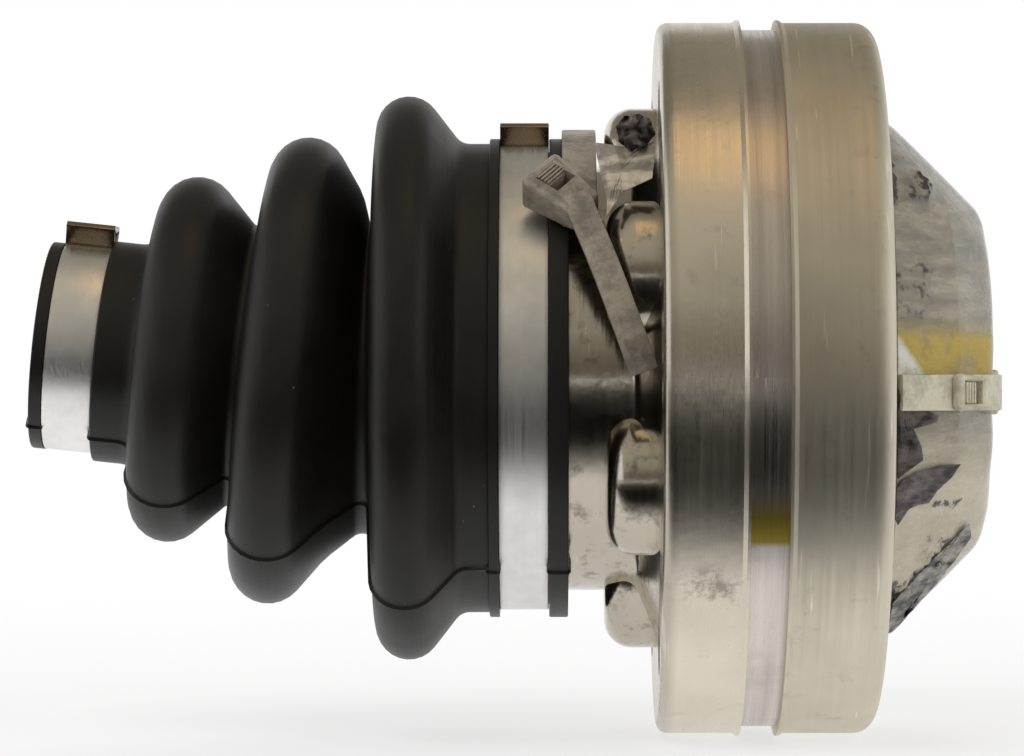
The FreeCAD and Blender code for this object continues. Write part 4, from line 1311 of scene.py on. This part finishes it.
class JOINT_OT_stage(bpy.types.Operator):
    """Set up the floor, the soft light, the cards that the metal reflects and the camera."""

    bl_idname = "joint.stage"
    bl_label = "Stage"

    def execute(self, context):
        s = settings("joint_stage")
        self.floor(s)
        self.world()
        self.table_card(s)
        self.room_card(s)
        self.warm_card(s)
        for name, values in LAMPS.items():
            self.lamp(name, *values)
        data = bpy.data.cameras.new("camera")
        data.lens = s.lens
        data.shift_x = s.shift
        data.clip_start = 0.01
        camera = bpy.data.objects.new("camera", data)
        camera.location = (s.across, -s.distance, 0.0)
        camera.rotation_euler = (math.pi / 2, 0, 0)
        context.scene.collection.objects.link(camera)
        context.scene.camera = camera
        context.scene.view_settings.view_transform = "Standard"
        return {"FINISHED"}

    @staticmethod
    def floor(s):
        """A pale floor under the joint, whose far parts the camera sees as white."""
        let_go()
        bpy.ops.mesh.primitive_plane_add(
            size=s.floor_size, location=(0, 0, CAD_BOX[0][2] - 0.2 * MM)
        )
        floor = bpy.context.object
        floor.name = "floor"
        recipe = Recipe("pale_floor")
        base = settings("joint_colours").floor
        grain = recipe.speckle(40.0)
        recipe.set(Base_Color=recipe.blend(grain, tint(base, 0.98), base), Roughness=0.8)
        rays = recipe.add("ShaderNodeLightPath").outputs
        seen = recipe.maths("MAXIMUM", rays["Is Camera Ray"], rays["Is Glossy Ray"])
        seen = recipe.maths("MAXIMUM", seen, rays["Is Transmission Ray"])
        share = recipe.times(seen, recipe.span(recipe.reach(), 0.15, 0.45, 0.65, 1.0))
        glow = recipe.add("ShaderNodeEmission", {"Color": (1.0, 1.0, 1.0)}).outputs[0]
        mixed = recipe.add("ShaderNodeMixShader", {
            0: share, 1: recipe.shader.outputs[0], 2: glow,
        }).outputs[0]
        recipe.feed(recipe.tree.nodes["Material Output"].inputs["Surface"], mixed)
        floor.data.materials.append(recipe.finish)

    @staticmethod
    def world():
        """White wherever it is seen or reflected, and an even grey light to the rest."""
        world = bpy.data.worlds.new("room")
        bpy.context.scene.world = world
        world.use_nodes = True
        tree = world.node_tree
        rays = tree.nodes.new("ShaderNodeLightPath").outputs
        seen = rays["Is Camera Ray"]
        for kind in ("Is Glossy Ray", "Is Transmission Ray"):
            either = tree.nodes.new("ShaderNodeMath")
            either.operation = "MAXIMUM"
            tree.links.new(seen, either.inputs[0])
            tree.links.new(rays[kind], either.inputs[1])
            seen = either.outputs[0]
        mixed = tree.nodes.new("ShaderNodeMix")
        mixed.data_type = "RGBA"
        tree.links.new(seen, mixed.inputs[0])
        mixed.inputs[6].default_value = (0.5, 0.5, 0.5, 1.0)
        mixed.inputs[7].default_value = (1.0, 1.0, 1.0, 1.0)
        tree.links.new(mixed.outputs[2], tree.nodes["Background"].inputs["Color"])

    def table_card(self, s):
        """The dark front of the table, which the metal reflects below its middle."""
        let_go()
        place = (s.middle, -s.table_place, CAD_BOX[0][2] + 0.4 * MM)
        bpy.ops.mesh.primitive_plane_add(size=1.0, location=place)
        bpy.context.object.scale = (s.table_length, s.table_depth, 1.0)
        card = settle("table_card")
        recipe = Recipe("table_front")
        tone = recipe.ramp(recipe.span(recipe.parts()[1], -0.05, -0.75), TABLE_TONES)
        self.reflected(card, recipe, tone)

    def room_card(self, s):
        """The brownish room with a warm lamp overhead, round the front and the top."""
        let_go()
        bpy.ops.mesh.primitive_cylinder_add(
            vertices=96, radius=s.room_radius, depth=s.room_length, end_fill_type="NOTHING",
            location=(s.middle, 0, 0), rotation=(0, math.pi / 2, 0),
        )
        card = settle("room_card")
        edit(card)
        rear = s.room_radius * 0.875
        pick(card, "faces", lambda f: (
            f.calc_center_median().z < 0.0 or f.calc_center_median().y > rear
        ))
        bpy.ops.mesh.delete(type="FACE")
        let_go()
        recipe = Recipe("room_front")
        back, up = recipe.parts()[1:]
        turn = recipe.maths("ARCTAN2", up, recipe.times(back, -1.0))
        tone = recipe.ramp(recipe.times(turn, 1.0 / math.pi), ROOM_TONES)
        self.reflected(card, recipe, tone)

    def warm_card(self, s):
        """The warm lamp over the drum, which the metal shows as a soft band."""
        let_go()
        bpy.ops.mesh.primitive_plane_add(
            size=1.0, location=WARM_LAMP, rotation=(s.lamp_tilt, 0, 0)
        )
        card = bpy.context.object
        card.name = "warm_card"
        card.scale = (s.lamp_length, s.lamp_width, 1.0)
        recipe = Recipe("warm_lamp")
        edge = recipe.speckle(4.0)
        self.reflected(card, recipe, recipe.blend(edge, (1.0, 0.66, 0.34), (1.1, 0.74, 0.38)))

    @staticmethod
    def reflected(card, recipe, tone):
        """Make a card that only reflections see."""
        recipe.set(Base_Color=(0.0, 0.0, 0.0), Specular_IOR_Level=0.0, Emission_Color=tone)
        recipe.set(Emission_Strength=1.0)
        card.data.materials.append(recipe.finish)
        card.visible_camera = False
        card.visible_diffuse = False
        card.visible_shadow = False
        card.visible_transmission = False

    @staticmethod
    def lamp(name, spot, power, size):
        data = bpy.data.lights.new(name, "AREA")
        data.shape = "DISK"
        data.energy = power
        data.size = size
        lamp = bpy.data.objects.new(name, data)
        lamp.visible_glossy = False
        lamp.location = spot
        aim = Vector(LAMP_AIM) - Vector(spot)
        lamp.rotation_euler = aim.to_track_quat("-Z", "Y").to_euler()
        bpy.context.scene.collection.objects.link(lamp)


class JOINT_PT_panel(bpy.types.Panel):
    """Lists the joint's pieces in the sidebar."""

    bl_label = "Drive joint"
    bl_idname = "JOINT_PT_panel"
    bl_space_type = "VIEW_3D"
    bl_region_type = "UI"
    bl_category = "Joint"

    def draw(self, context):
        for operator in OPERATORS:
            self.layout.operator(operator.bl_idname)


GROUPS = {
    "joint_boot": BootSizes,
    "joint_clamps": ClampSizes,
    "joint_tie": TieSizes,
    "joint_cover": CoverSizes,
    "joint_colours": JointColours,
    "joint_stage": StageSizes,
}
OPERATORS = (
    JOINT_OT_finishes,
    JOINT_OT_boot,
    JOINT_OT_clamps,
    JOINT_OT_tie,
    JOINT_OT_cover,
    JOINT_OT_scraps,
    JOINT_OT_strap,
    JOINT_OT_stage,
)


def register():
    for group in (*GROUPS.values(), *OPERATORS, JOINT_PT_panel):
        bpy.utils.register_class(group)
    for name, group in GROUPS.items():
        setattr(bpy.types.Scene, name, PointerProperty(type=group))


def unregister():
    for name in GROUPS:
        delattr(bpy.types.Scene, name)
    for group in (JOINT_PT_panel, *reversed(OPERATORS), *reversed(GROUPS.values())):
        bpy.utils.unregister_class(group)


def main():
    register()
    bpy.ops.joint.finishes()
    bpy.ops.joint.boot()
    bpy.ops.joint.clamps()
    bpy.ops.joint.tie()
    bpy.ops.joint.cover()
    bpy.ops.joint.scraps()
    bpy.ops.joint.strap()
    bpy.ops.joint.stage()


if __name__ == "__main__":
    main()
